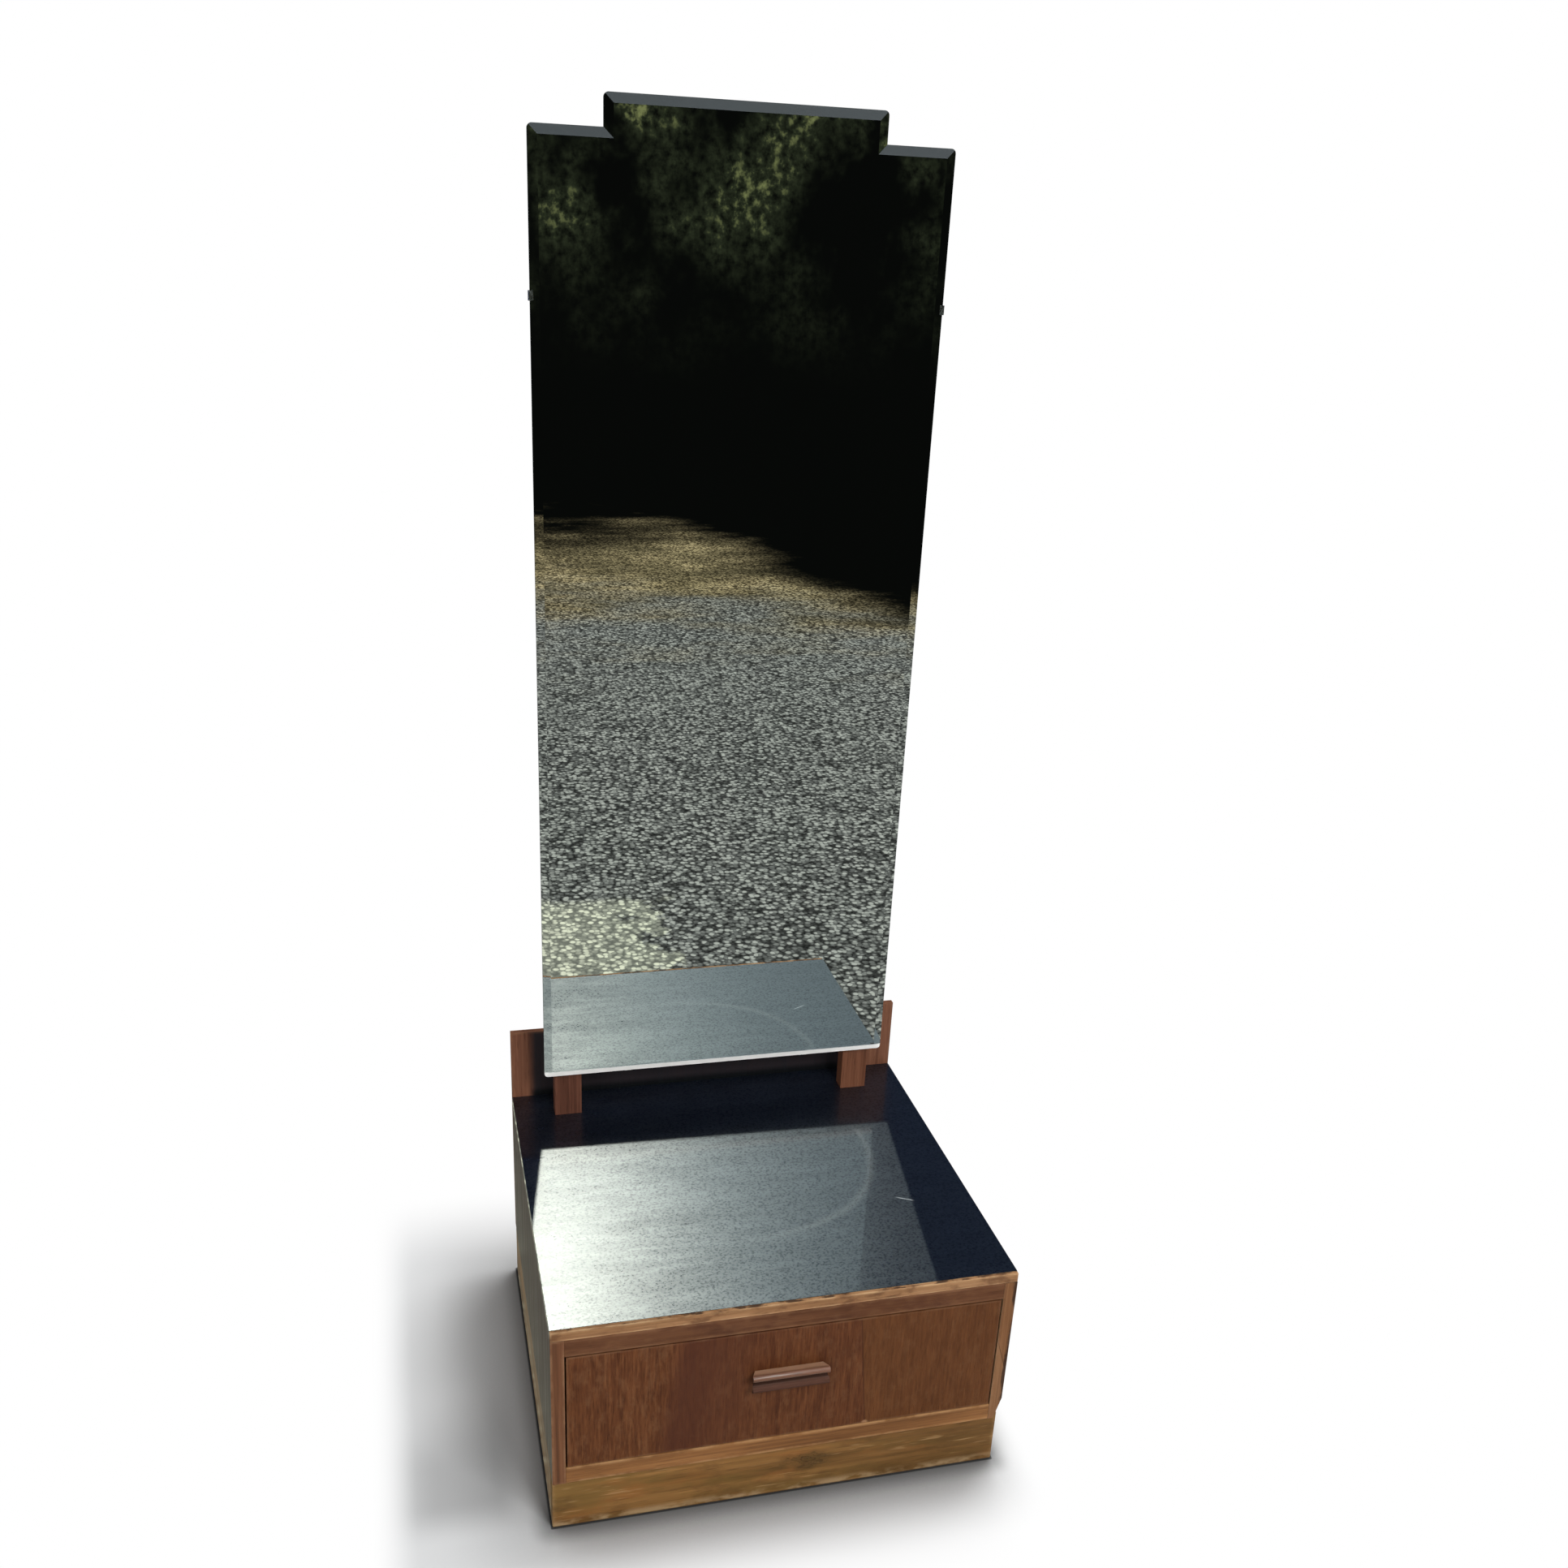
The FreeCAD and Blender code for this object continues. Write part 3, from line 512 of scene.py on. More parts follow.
# The mirror is thick plate glass with a stepped top, bevelled all round and silvered behind.
# Its ground foot shows as a pale line, its bevels bend the view, and its sawn edges look dark.
# Its head bevel is not silvered but painted a dull grey, as a painted reflection.
# A plywood backing lies between it and the posts, and four metal clips screwed to the backing hold it.
backing_stain = wood(
    "stained backing",
    "z",
    (0.07, 0.034, 0.018),
    (0.13, 0.068, 0.036),
    (0.18, 0.1, 0.055),
    dull=0.65,
)
dress(backing_stain, "mirror_backing", eased=0.0004)
BEND = 0.18
GROUND_EDGE = 0.0082
glass_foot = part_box("mirror_glass")[0].z
silvered_glass = new_finish("silvered glass")
silver = drawn_out(silvered_glass, "z", 8.0, 2.0, 1.0)
silver_tone = shades(silvered_glass, silver, (0.3, (0.8, 0.84, 0.82)), (0.7, (0.86, 0.88, 0.87)))
put(silvered_glass, "Base Color", silver_tone)
frontal = reckon(silvered_glass, "ABSOLUTE", facing(silvered_glass, "y"))
sawn_edge = band(silvered_glass, frontal, 0.3, 0.6, 1.0, 0.0)
lay(silvered_glass, sawn_edge, (0.03, 0.045, 0.042))
from_foot = reckon(silvered_glass, "SUBTRACT", own_place(silvered_glass, "z"), glass_foot)
ground_foot = band(silvered_glass, from_foot, GROUND_EDGE * 0.7, GROUND_EDGE, 1.0, 0.0)
lay(silvered_glass, ground_foot, (0.98, 0.96, 0.93))
# Painted reflection: the head bevel is laid a flat dull grey instead of mirroring.
painted_head_bevel = band(silvered_glass, facing(silvered_glass, "z"), 0.08, 0.16)
lay(silvered_glass, painted_head_bevel, (0.037, 0.043, 0.045))
dull_edges = reckon(silvered_glass, "MAXIMUM", sawn_edge, ground_foot)
unsilvered_and_painted = reckon(silvered_glass, "MAXIMUM", dull_edges, painted_head_bevel)
put(silvered_glass, "Metallic", reckon(silvered_glass, "SUBTRACT", 1.0, unsilvered_and_painted))
hazy = band(silvered_glass, drawn_out(silvered_glass, "x", 9.0, 1.5, 3.0), 0.45, 0.8, 0.005, 0.014)
put(silvered_glass, "Roughness", between(silvered_glass, unsilvered_and_painted, hazy, 0.5))
slope = layer(silvered_glass, "NewGeometry", out="True Normal")
turned = layer(silvered_glass, "VectorMath", {0: slope, 1: (-BEND, -BEND, -BEND)}, operation="MULTIPLY")
bent = layer(silvered_glass, "VectorMath", {0: turned, 1: (0.0, -1.0 - BEND, 0.0)}, operation="ADD")
glass_normal = layer(silvered_glass, "Mix", {0: unsilvered_and_painted, 4: bent, 5: slope}, out=1, data_type="VECTOR")
put(silvered_glass, "Normal", layer(silvered_glass, "VectorMath", {0: glass_normal}, operation="NORMALIZE"))
dress(silvered_glass, "mirror_glass", eased=0)
dull_plate = new_finish("dulled plating", Metallic=1.0)
plate_spots = drawn_out(dull_plate, "z", 300.0, 1.0, 8.0)
plate_tone = shades(dull_plate, plate_spots, (0.3, (0.45, 0.44, 0.4)), (0.7, (0.65, 0.65, 0.62)))
put(dull_plate, "Base Color", plate_tone)
plate_wear = drawn_out(dull_plate, "z", 500.0, 1.0, 2.0)
put(dull_plate, "Roughness", band(dull_plate, plate_wear, 0.3, 0.7, 0.2, 0.4))
dress(dull_plate, "mirror_clips", eased=0)


# The drawer is a dovetailed box of beech with a plywood bottom, screwed up into its back.
# Its front is veneered with three leaves of upright walnut, bare at the back,
# and two stops on the rail meet it when it is shut.
BEECH = {"dark": (0.32, 0.18, 0.085), "body": (0.43, 0.27, 0.14), "light": (0.5, 0.33, 0.18)}
beech_deep = wood("beech along the drawer's depth", "y", **BEECH, pores=0.25, dull=0.6, seed=41.0)
dress(beech_deep, "drawer_left", "drawer_right", eased=0.0004)
beech_across = wood("beech along the drawer's width", "x", **BEECH, pores=0.25, dull=0.6, seed=44.0)
dress(beech_across, "drawer_back", eased=0.0004)
dress(plain_ply, "drawer_bottom", eased=0)
dress(pine_across, "drawer_stops")
front_walnut = wood(
    "drawer front walnut",
    "z",
    (0.06, 0.0175, 0.006),
    (0.104, 0.0345, 0.0115),
    (0.15, 0.054, 0.019),
    broad=30.0,
    fine=420.0,
    run=13.0,
    lined=0.7,
    pores=0.5,
    dull=0.55,
    gloss=0.12,
    seed=50.0,
)
LEFT_SEAM_FOOT, LEFT_SEAM_LEAN = -0.147, 0.138
RIGHT_SEAM_FOOT, RIGHT_SEAM_LEAN = 0.0955, -0.09
front_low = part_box("drawer_front")[0]


def past_seam(foot, lean):
    """How far a place on the drawer front lies to the right of a leaning seam of the veneer."""
    climb = reckon(front_walnut, "SUBTRACT", own_place(front_walnut, "z"), front_low.z)
    seam_x = reckon(front_walnut, "MULTIPLY_ADD", climb, lean)
    seam_x.node.inputs[2].default_value = foot
    return reckon(front_walnut, "SUBTRACT", own_place(front_walnut, "x"), seam_x)


bloom = band(front_walnut, drawn_out(front_walnut, "z", 110.0, 2.2, 23.0, 5.0), 0.46, 0.68, 0.0, 0.42)
lay(front_walnut, bloom, (0.165, 0.072, 0.03))
left_seam = past_seam(LEFT_SEAM_FOOT, LEFT_SEAM_LEAN)
right_seam = past_seam(RIGHT_SEAM_FOOT, RIGHT_SEAM_LEAN)
in_middle = reckon(
    front_walnut,
    "MULTIPLY",
    band(front_walnut, left_seam, -0.014, 0.016),
    band(front_walnut, right_seam, 0.0006, -0.0006),
)
purple_fade = band(front_walnut, left_seam, 0.0, 0.14, 0.75, 0.15)
lay(front_walnut, reckon(front_walnut, "MULTIPLY", in_middle, purple_fade), (0.066, 0.02, 0.0105))
warm = band(front_walnut, right_seam, -0.0006, 0.0006, 0.0, 0.45)
lay(front_walnut, warm, (0.105, 0.04, 0.012))
seam_line = band(front_walnut, reckon(front_walnut, "ABSOLUTE", right_seam), 0.0003, 0.0012, 0.6, 0.0)
lay(front_walnut, seam_line, (0.04, 0.014, 0.008))
notch_off = layer(
    front_walnut,
    "VectorMath",
    {0: own_place(front_walnut), 1: (RIGHT_SEAM_FOOT, front_low.y, front_low.z)},
    out="Value",
    operation="DISTANCE",
)
lay(front_walnut, band(front_walnut, notch_off, 0.002, 0.005, 0.9, 0.0), (0.34, 0.18, 0.09))
rub(front_walnut, "drawer_front", 0.003, (0.2, 0.1, 0.05), seed=13.0, most=0.5)
bare_back = band(front_walnut, facing(front_walnut, "y"), 0.5, 0.8)
lay(front_walnut, bare_back, BEECH["body"])
dress(front_walnut, "drawer_front", eased=0.0006)


# The pull is one bar of walnut, reeded along its face and undercut at the ends for the fingers.
# Two screws through the drawer front hold it, and fingers keep its reeds shiny.
# Its upper rear face is painted light as if lit from above; its lower reed and hollow are painted shade.
pull_walnut = wood(
    "pull walnut",
    "x",
    (0.05, 0.02, 0.011),
    (0.09, 0.038, 0.022),
    (0.135, 0.064, 0.04),
    gloss=0.5,
    seed=57.0,
)
pull_low, pull_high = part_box("drawer_pull")
pull_middle = (pull_low.z + pull_high.z) / 2
REED = (pull_high.z - pull_low.z) / 6
from_middle = reckon(pull_walnut, "SUBTRACT", own_place(pull_walnut, "z"), pull_middle)
# Painted light: the upper rear face of the pull is laid lighter, as if lit from above.
painted_light_top_face = reckon(
    pull_walnut,
    "MULTIPLY",
    band(pull_walnut, facing(pull_walnut, "z"), 0.7, 0.9, 0.0, 0.7),
    band(pull_walnut, own_place(pull_walnut, "y"), pull_low.y + REED, pull_low.y + 2 * REED),
)
lay(pull_walnut, painted_light_top_face, (0.24, 0.135, 0.08))
# Painted shade: the lower reed is laid dark, as if shaded by the upper reed.
painted_shade_lower_reed = band(pull_walnut, from_middle, 0.0, -REED * 1.5, 0.0, 0.9)
lay(pull_walnut, painted_shade_lower_reed, (0.034, 0.013, 0.008))
# Painted shade: the hollow between the reeds is laid near-black.
off_hollow = reckon(pull_walnut, "ABSOLUTE", from_middle)
painted_shade_hollow = band(pull_walnut, off_hollow, REED * 0.7, REED * 1.15, 0.95, 0.0)
lay(pull_walnut, painted_shade_hollow, (0.012, 0.004, 0.002))
painted_shade_and_dull = reckon(pull_walnut, "MAXIMUM", painted_shade_lower_reed, painted_shade_hollow)
put(pull_walnut, "Roughness", between(pull_walnut, painted_shade_and_dull, 0.36, 0.95))
put(pull_walnut, "Specular IOR Level", between(pull_walnut, painted_shade_and_dull, 0.6, 0.12))
dress(pull_walnut, "drawer_pull", eased=0.0004)


# All the screws are plain steel wood screws, long since dulled.
# They hold the back, the top, the posts, the mirror's backing and clips, the drawer's bottom and its pull.
dull_steel = new_finish("dulled steel", Metallic=1.0)
steel_spots = drawn_out(dull_steel, "z", 400.0, 1.0, 3.0)
steel_tone = shades(dull_steel, steel_spots, (0.3, (0.3, 0.28, 0.25)), (0.7, (0.5, 0.49, 0.47)))
put(dull_steel, "Base Color", steel_tone)
steel_wear = drawn_out(dull_steel, "z", 700.0, 1.0, 7.0)
put(dull_steel, "Roughness", band(dull_steel, steel_wear, 0.3, 0.7, 0.3, 0.5))
dress(
    dull_steel,
    "back_screws",
    "backing_screws",
    "clip_screws",
    "drawer_bottom_screws",
    "pull_screws",
    "top_screws",
    "upright_screws",
    eased=0,
)


# The studio: a pale floor that runs out to white, under soft lamps at the front and the back.
# Cloths out of the picture give the mirror and the polish something to show: a speckled floor cloth,
# a dark mottled one behind the camera with a pale head, and a black flag at the back.
def seen(owner):
    """One for what the camera, a mirror or glass shows, and nought for light that falls on things."""
    path = layer(owner, "LightPath").node
    outs = [path.outputs[name] for name in ("Is Camera Ray", "Is Glossy Ray", "Is Transmission Ray")]
    return reckon(owner, "MAXIMUM", reckon(owner, "MAXIMUM", outs[0], outs[1]), outs[2])


def card(name, finish, *corners):
    """A flat card of the studio, from its corners."""
    mesh = bpy.data.meshes.new(name)
    mesh.from_pydata(corners, [], [range(len(corners))])
    mesh.materials.append(finish)
    made = bpy.data.objects.new(name, mesh)
    bpy.context.scene.collection.objects.link(made)
    made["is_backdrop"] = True
    return made


def only_reflected(made):
    """Keeps a card out of every direct view and out of the light, so only shiny surfaces show it."""
    made.visible_camera = False
    made.visible_diffuse = False
    made.visible_shadow = False


def upright_card(name, finish, across, away, foot, head):
    """A card that stands across the front or the back of the studio."""
    left, right = across
    outline = ((left, foot), (right, foot), (right, head), (left, head))
    only_reflected(card(name, finish, *[(x, away, z) for x, z in outline]))


def glow(name):
    """A finish that gives light of its own, for a card, and the step that takes its colour."""
    finish = new_finish(name)
    tree = finish.node_tree
    tree.nodes.remove(tree.nodes["Principled BSDF"])
    shine = layer(finish, "Emission", {"Strength": 1.0})
    tree.links.new(shine, tree.nodes["Material Output"].inputs["Surface"])
    return finish, shine.node.inputs["Color"]


FLOOR_REACH = 40.0
SHADOW_LEFT = 0.14
SHADOW_RIGHT = 0.05
SHADOW_FRONT = 0.16
SHADOW_BACK = 0.2
SHADOW_FADE = 0.06
SHADOW_CLEAR = 0.02
CONTACT_REACH = 0.12
FOOT_REACH = 0.03
FOOT_LINE = 0.004
FLOOR_IN_POLISH = 0.42
POOL_START, POOL_FULL, POOL_FADING, POOL_END = 0.02, 0.06, 0.12, 0.2
POOL_FRONT, POOL_FRONT_FULL, POOL_BACK_FULL, POOL_BACK = -0.225, -0.165, -0.12, 0.02
SHADE_BLACK = (0.02, 0.02, 0.02, 1.0)
pale_floor = new_finish("pale floor")
floor_tree = pale_floor.node_tree
floor_tree.nodes.remove(floor_tree.nodes["Principled BSDF"])
plinth_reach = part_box("plinth_right")[1].x
plinth_front_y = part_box("plinth_front")[0].y
plinth_back_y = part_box("plinth_back")[1].y
floor_x = own_place(pale_floor, "x")
floor_y = own_place(pale_floor, "y")
from_left = reckon(pale_floor, "SUBTRACT", -plinth_reach, floor_x)
kept_left = band(pale_floor, from_left, SHADOW_LEFT, SHADOW_LEFT + SHADOW_FADE, 1.0, 0.0)
kept_right = band(pale_floor, floor_x, plinth_reach, plinth_reach + SHADOW_RIGHT, 1.0, 0.0)
from_front = reckon(pale_floor, "SUBTRACT", plinth_front_y, floor_y)
kept_front = band(pale_floor, from_front, SHADOW_CLEAR, SHADOW_FRONT, 1.0, 0.0)
kept_back = band(pale_floor, floor_y, plinth_back_y, plinth_back_y + SHADOW_BACK, 1.0, 0.0)
kept_across = reckon(pale_floor, "MULTIPLY", kept_left, kept_right)
kept_deep = reckon(pale_floor, "MULTIPLY", kept_front, kept_back)
far = reckon(pale_floor, "SUBTRACT", 1.0, reckon(pale_floor, "MULTIPLY", kept_across, kept_deep))
lifted = reckon(pale_floor, "MAXIMUM", far, band(pale_floor, from_left, 0.0, FOOT_REACH, 0.0, 0.06))
shown_in_gloss = layer(pale_floor, "LightPath", out="Is Glossy Ray")
in_polish = reckon(pale_floor, "MULTIPLY", shown_in_gloss, FLOOR_IN_POLISH)
white_floor = reckon(pale_floor, "MAXIMUM", lifted, in_polish)
white_share = reckon(pale_floor, "MULTIPLY", white_floor, seen(pale_floor))
# Painted shade on the floor: darker where the ambient-occlusion node finds the cabinet close by.
painted_crowd_shade = layer(pale_floor, "AmbientOcclusion", {"Distance": CONTACT_REACH}, out="AO")
plinth_middle = (0.0, (plinth_front_y + plinth_back_y) / 2, 0.0)
plinth_half = (plinth_reach, (plinth_back_y - plinth_front_y) / 2, 0.0)
floor_place = own_place(pale_floor)
off_plinth = layer(pale_floor, "VectorMath", {0: floor_place, 1: plinth_middle}, operation="SUBTRACT")
off_sides = layer(pale_floor, "VectorMath", {0: off_plinth}, operation="ABSOLUTE")
past_plinth = layer(pale_floor, "VectorMath", {0: off_sides, 1: plinth_half}, operation="SUBTRACT")
past_clear = layer(pale_floor, "VectorMath", {0: past_plinth, 1: (0.0, 0.0, 0.0)}, operation="MAXIMUM")
past_reach = layer(pale_floor, "VectorMath", {0: past_clear}, out="Value", operation="LENGTH")
# Painted contact shade: a dark band along the plinth's front and a near-black line right under its foot.
painted_front_contact_shade = reckon(
    pale_floor,
    "MULTIPLY",
    band(pale_floor, from_front, -0.05, 0.0),
    band(pale_floor, past_reach, 0.0, FOOT_REACH, 0.5, 0.0),
)
painted_foot_line_shade = band(pale_floor, past_reach, FOOT_LINE / 4, FOOT_LINE, 0.9, 0.0)
painted_contact_shade = reckon(pale_floor, "MAXIMUM", painted_front_contact_shade, painted_foot_line_shade)
floor_tone = shades(pale_floor, painted_crowd_shade, (0.4, (0.2, 0.205, 0.207)), (1.0, (0.84, 0.85, 0.855)))
floor_tone = blend(pale_floor, painted_contact_shade, floor_tone, SHADE_BLACK)
# Painted shadow: a darker pool on the floor to the left of the cabinet.
pool_out = reckon(
    pale_floor,
    "MULTIPLY",
    band(pale_floor, from_left, POOL_START, POOL_FULL, 0.0, 0.4),
    band(pale_floor, from_left, POOL_END, POOL_FADING),
)
pool_along = reckon(
    pale_floor,
    "MULTIPLY",
    band(pale_floor, floor_y, POOL_FRONT, POOL_FRONT_FULL),
    band(pale_floor, floor_y, POOL_BACK, POOL_BACK_FULL),
)
painted_shadow_pool = reckon(pale_floor, "MULTIPLY", pool_out, pool_along)
floor_tone = blend(pale_floor, painted_shadow_pool, floor_tone, SHADE_BLACK)
paint = layer(pale_floor, "BsdfDiffuse", {"Color": floor_tone})
white = layer(pale_floor, "Emission", {"Strength": 1.0})
floor_mix = layer(pale_floor, "MixShader", {0: white_share, 1: paint, 2: white})
floor_tree.links.new(floor_mix, floor_tree.nodes["Material Output"].inputs["Surface"])
card(
    "floor",
    pale_floor,
    (-FLOOR_REACH, -FLOOR_REACH, 0.0),
    (FLOOR_REACH, -FLOOR_REACH, 0.0),
    (FLOOR_REACH, FLOOR_REACH, 0.0),
    (-FLOOR_REACH, FLOOR_REACH, 0.0),
)

CLOTH_AWAY = -12.0
CLOTH_SPAN = (-16.0, 16.0)
CLOTH_HEAD = 16.0
CLOTH_LIFT = 0.002
CLOTH_BACK = 2.0
CLOTH_BLACK = (0.0026, 0.003, 0.0026)
DARK_CORNER = 1.1
DARK_SLANT = 3.1
SUNNY_LEFT, SUNNY_RIGHT, SUNNY_FRONT = -0.5, 0.15, -1.15
floor_cloth, floor_colour = glow("floor cloth")
grit = layer(floor_cloth, "TexVoronoi", {"Vector": own_place(floor_cloth), "Scale": 84.0}, out="Color").node
grit_tone = layer(floor_cloth, "SeparateXYZ", {"Vector": grit.outputs["Color"]})
grit_tone = band(floor_cloth, grit_tone, -0.2, 1.2, 0.2, 1.0)
grit_edge = band(floor_cloth, grit.outputs["Distance"], 0.36, 0.76, 1.0, 0.12)
grit_mass = drawn_out(floor_cloth, "x", 120.0, 1.0, 2.0)
grit_light = between(floor_cloth, 0.35, reckon(floor_cloth, "MULTIPLY", grit_tone, grit_edge), grit_mass)
grey = shades(
    floor_cloth,
    grit_light,
    (0.18, (0.018, 0.019, 0.018)),
    (0.46, (0.175, 0.185, 0.173)),
    (0.76, (0.5, 0.525, 0.475)),
)
straw = shades(
    floor_cloth,
    grit_light,
    (0.18, (0.035, 0.027, 0.012)),
    (0.42, (0.27, 0.217, 0.118)),
    (0.74, (0.74, 0.61, 0.33)),
)
ragged_edge = band(floor_cloth, drawn_out(floor_cloth, "x", 1.6, 1.8, 6.0, 5.0), 0.3, 0.7, -0.7, 0.7)
outward_y = reckon(floor_cloth, "ADD", own_place(floor_cloth, "y"), ragged_edge)
patches = band(floor_cloth, drawn_out(floor_cloth, "x", 2.2, 1.6, 11.0, 4.0), 0.4, 0.62, 0.6, 0.0)
straw = blend(floor_cloth, patches, straw, (0.025, 0.024, 0.013, 1.0))
straw_share = band(floor_cloth, outward_y, -3.0, -4.6)
past_corner = reckon(floor_cloth, "SUBTRACT", own_place(floor_cloth, "x"), DARK_CORNER)
past_corner = reckon(floor_cloth, "MAXIMUM", past_corner, 0.0)
slanted = reckon(floor_cloth, "MULTIPLY", past_corner, DARK_SLANT)
dark_slant = reckon(floor_cloth, "SUBTRACT", outward_y, slanted)
dark_share = band(floor_cloth, dark_slant, -4.7, -6.5)
cloth_mix = blend(floor_cloth, straw_share, grey, straw)
cloth_mix = blend(floor_cloth, dark_share, cloth_mix, (*CLOTH_BLACK, 1.0))
sunny_edge = band(floor_cloth, drawn_out(floor_cloth, "x", 14.0, 1.0, 8.0), 0.3, 0.7, -0.08, 0.08)
sunny_across = reckon(floor_cloth, "ADD", own_place(floor_cloth, "x"), sunny_edge)
sunny_right = band(floor_cloth, sunny_across, SUNNY_RIGHT, SUNNY_RIGHT - 0.07)
sunny_left = band(floor_cloth, sunny_across, SUNNY_LEFT, SUNNY_LEFT + 0.2)
sunny_x = reckon(floor_cloth, "MULTIPLY", sunny_right, sunny_left)
sunny_y = band(floor_cloth, own_place(floor_cloth, "y"), SUNNY_FRONT, SUNNY_FRONT + 0.06)
sunny = reckon(floor_cloth, "MULTIPLY", sunny_x, sunny_y)
cloth_mix = blend(floor_cloth, sunny, cloth_mix, (2.2, 2.15, 1.8, 1.0), "MULTIPLY")
sunny_haze = reckon(floor_cloth, "MULTIPLY", sunny, 0.3)
cloth_mix = blend(floor_cloth, sunny_haze, cloth_mix, (0.44, 0.47, 0.4, 1.0))
floor_cloth.node_tree.links.new(cloth_mix, floor_colour)
only_reflected(
    card(
        "floor cloth",
        floor_cloth,
        (CLOTH_SPAN[0], CLOTH_AWAY, CLOTH_LIFT),
        (CLOTH_SPAN[1], CLOTH_AWAY, CLOTH_LIFT),
        (CLOTH_SPAN[1], CLOTH_BACK, CLOTH_LIFT),
        (CLOTH_SPAN[0], CLOTH_BACK, CLOTH_LIFT),
    )
)

dark_cloth, cloth_colour = glow("dark cloth")
clouds = drawn_out(dark_cloth, "z", 1.1, 1.3, 3.0, 4.0)
dabs = drawn_out(dark_cloth, "z", 12.0, 1.1, 5.0, 9.0)
clouded = band(dark_cloth, clouds, 0.4, 0.66)
dabbed = band(dark_cloth, dabs, 0.3, 0.76)
daub = reckon(dark_cloth, "MULTIPLY", clouded, dabbed)
height = own_place(dark_cloth, "z")
daub_up = reckon(dark_cloth, "MULTIPLY", daub, band(dark_cloth, height, 0.2, 2.8, 0.0, 1.0))
mottled = shades(
    dark_cloth,
    daub_up,
    (0.0, CLOTH_BLACK),
    (0.27, (0.024, 0.03, 0.016)),
    (0.62, (0.19, 0.21, 0.083)),
)
pale_head = band(dark_cloth, height, 4.6, 6.4)
cloth_tone = blend(dark_cloth, pale_head, mottled, (0.62, 0.79, 0.88, 1.0))
dark_cloth.node_tree.links.new(cloth_tone, cloth_colour)
upright_card("dark cloth", dark_cloth, CLOTH_SPAN, CLOTH_AWAY, 0.0, CLOTH_HEAD)

black_flag, flag_colour = glow("black flag")
flag_colour.default_value = (0.03, 0.045, 0.09, 1.0)
upright_card("black flag", black_flag, (-9.0, 9.0), 6.0, 0.0, CLOTH_HEAD)

world = bpy.data.worlds.new("studio air")
bpy.context.scene.world = world
world.use_nodes = True
soft_fill = world.node_tree.nodes["Background"]
soft_fill.inputs["Color"].default_value = (1.0, 1.0, 1.0, 1.0)
soft_fill.inputs["Strength"].default_value = 0.22
plain_white = layer(world, "Background", {"Strength": 1.0, "Color": (1.0, 1.0, 1.0, 1.0)})
air = layer(world, "MixShader", {0: seen(world), 1: soft_fill.outputs[0], 2: plain_white})
world.node_tree.links.new(air, world.node_tree.nodes["World Output"].inputs["Surface"])


def hang(name, lamp, place, toward):
    """Hangs a lamp at a place, shining along a direction."""
    holder = bpy.data.objects.new(name, lamp)
    bpy.context.scene.collection.objects.link(holder)
    holder.location = place
    holder.rotation_euler = Vector(toward).to_track_quat("-Z", "Y").to_euler()
    return holder


def soft_lamp(name, place, aim, side, radiance):
    """A square soft lamp; the mirror and the polish show the cloths and not these lamps."""
    lamp = bpy.data.lights.new(name, "AREA")
    lamp.shape = "SQUARE"
    lamp.size = side
    lamp.energy = radiance * math.pi * side * side
    hang(name, lamp, place, Vector(aim) - Vector(place)).visible_glossy = False


soft_lamp("front softbox", (0.9, -2.5, 2.5), (0.0, -0.1, 0.4), 1.2, 17.0)
soft_lamp("back softbox", (0.9, 0.9, 3.0), (0.0, -0.1, 0.0), 1.6, 7.3)
soft_lamp("left fill", (-1.8, -1.9, 1.5), (-0.2, 0.1, 0.4), 1.0, 5.0)


# Two narrow lamps bring out the dusty polish of the top and the shine of the pull, and nothing else.
# One shines from the front. The other stands for the light that the mirror throws down on the top,
# so it comes from behind through a mask that lets through only what the mirror would send.
BEAM_ASIDE = 0.07
BEAM_RISE = 0.85
BEAM_SPREAD = 0.06
BEAM_STRENGTH = 1.66
MASK_AWAY = 4.5
MASK_MARGIN = 0.8
top_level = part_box("top_board")[1].z
thrown_patch = ((-0.24, 0.107), (0.216, 0.092), (0.168, -0.24), (-0.299, -0.24))


def beam(name, toward_lamp, *lit_names):
    """A narrow lamp, far away, that falls on the named pieces alone."""
    lamp = bpy.data.lights.new(name, "SUN")
    lamp.energy = BEAM_STRENGTH
    lamp.angle = math.radians(BEAM_SPREAD)
    lamp.color = (0.93, 1.0, 0.95)
    holder = hang(name, lamp, toward_lamp * MASK_AWAY, -toward_lamp)
    lit = bpy.data.collections.new(name + " falls on")
    for lit_name in lit_names:
        lit.objects.link(nodes[lit_name])
    holder.light_linking.receiver_collection = lit
    return holder


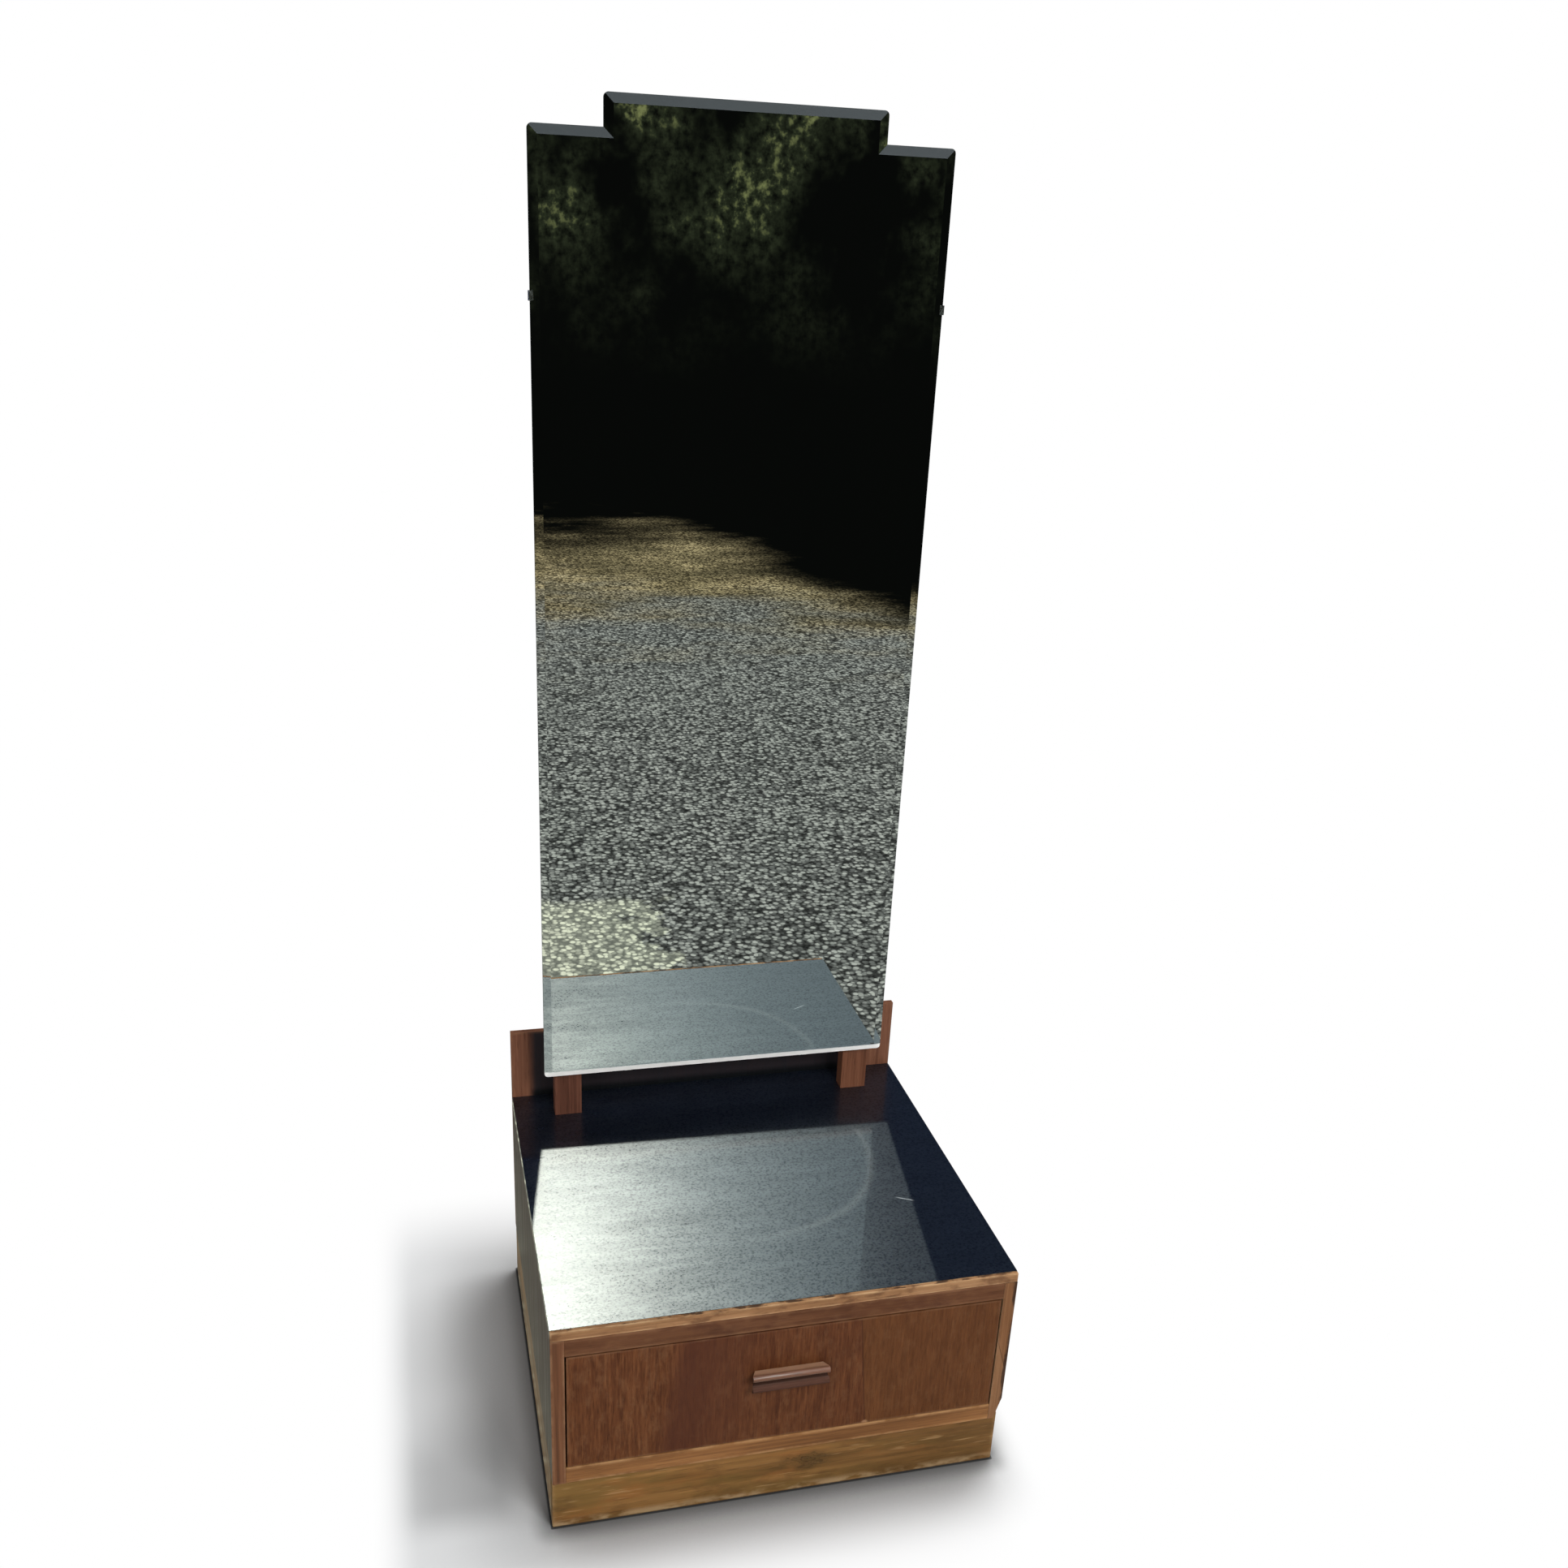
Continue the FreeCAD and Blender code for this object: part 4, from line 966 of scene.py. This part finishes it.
beam("front beam", Vector((BEAM_ASIDE, -1.0, BEAM_RISE)).normalized(), "top_board", "drawer_pull")
toward_image = Vector((BEAM_ASIDE, 1.0, BEAM_RISE)).normalized()
thrown_beam = beam("thrown beam", toward_image, "top_board")
inner_rim = [Vector((x, y, top_level)) + toward_image * MASK_AWAY for x, y in thrown_patch]
mask_middle = sum(inner_rim, Vector()) / len(inner_rim)
outer_rim = []
for corner in inner_rim:
    out_x = math.copysign(MASK_MARGIN, corner.x - mask_middle.x)
    out_y = math.copysign(MASK_MARGIN, corner.y - mask_middle.y)
    outer_rim.append(corner + Vector((out_x, out_y, 0.0)))
mask_mesh = bpy.data.meshes.new("beam mask")
rim_count = len(inner_rim)
mask_faces = []
for here in range(rim_count):
    beside = (here + 1) % rim_count
    mask_faces.append((here, beside, beside + rim_count, here + rim_count))
mask_mesh.from_pydata(inner_rim + outer_rim, [], mask_faces)
mask_mesh.materials.append(black_flag)
beam_mask = bpy.data.objects.new("beam mask", mask_mesh)
bpy.context.scene.collection.objects.link(beam_mask)
beam_mask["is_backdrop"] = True
beam_mask.visible_camera = False
beam_mask.visible_diffuse = False
beam_mask.visible_glossy = False
beam_mask.visible_transmission = False
masked_by = bpy.data.collections.new("thrown beam is masked by")
masked_by.objects.link(beam_mask)
thrown_beam.light_linking.blocker_collection = masked_by


# The camera stands left of the middle, at about chest height.
# It looks down a little and to the right, and leans by a hand-held couple of degrees.
CAMERA_PLACE = Vector((-0.3789, -1.435, 1.3336))
CAMERA_TURN = 14.32
CAMERA_DIP = 22.79
CAMERA_LEAN = 2.414
LENS = 32.79
SHIFT_ACROSS = 0.0227
SHIFT_UP = 0.0509
camera = bpy.data.objects.new("camera", bpy.data.cameras.new("camera"))
bpy.context.scene.collection.objects.link(camera)
turn = Matrix.Rotation(math.radians(-CAMERA_TURN), 4, "Z")
dip = Matrix.Rotation(math.radians(90.0 - CAMERA_DIP), 4, "X")
lean = Matrix.Rotation(math.radians(CAMERA_LEAN), 4, "Z")
camera.matrix_world = Matrix.Translation(CAMERA_PLACE) @ turn @ dip @ lean
camera.data.sensor_width = 36.0
camera.data.lens = LENS
camera.data.shift_x = SHIFT_ACROSS
camera.data.shift_y = SHIFT_UP
bpy.context.scene.camera = camera
bpy.context.scene.view_settings.view_transform = "Standard"

low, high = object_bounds()
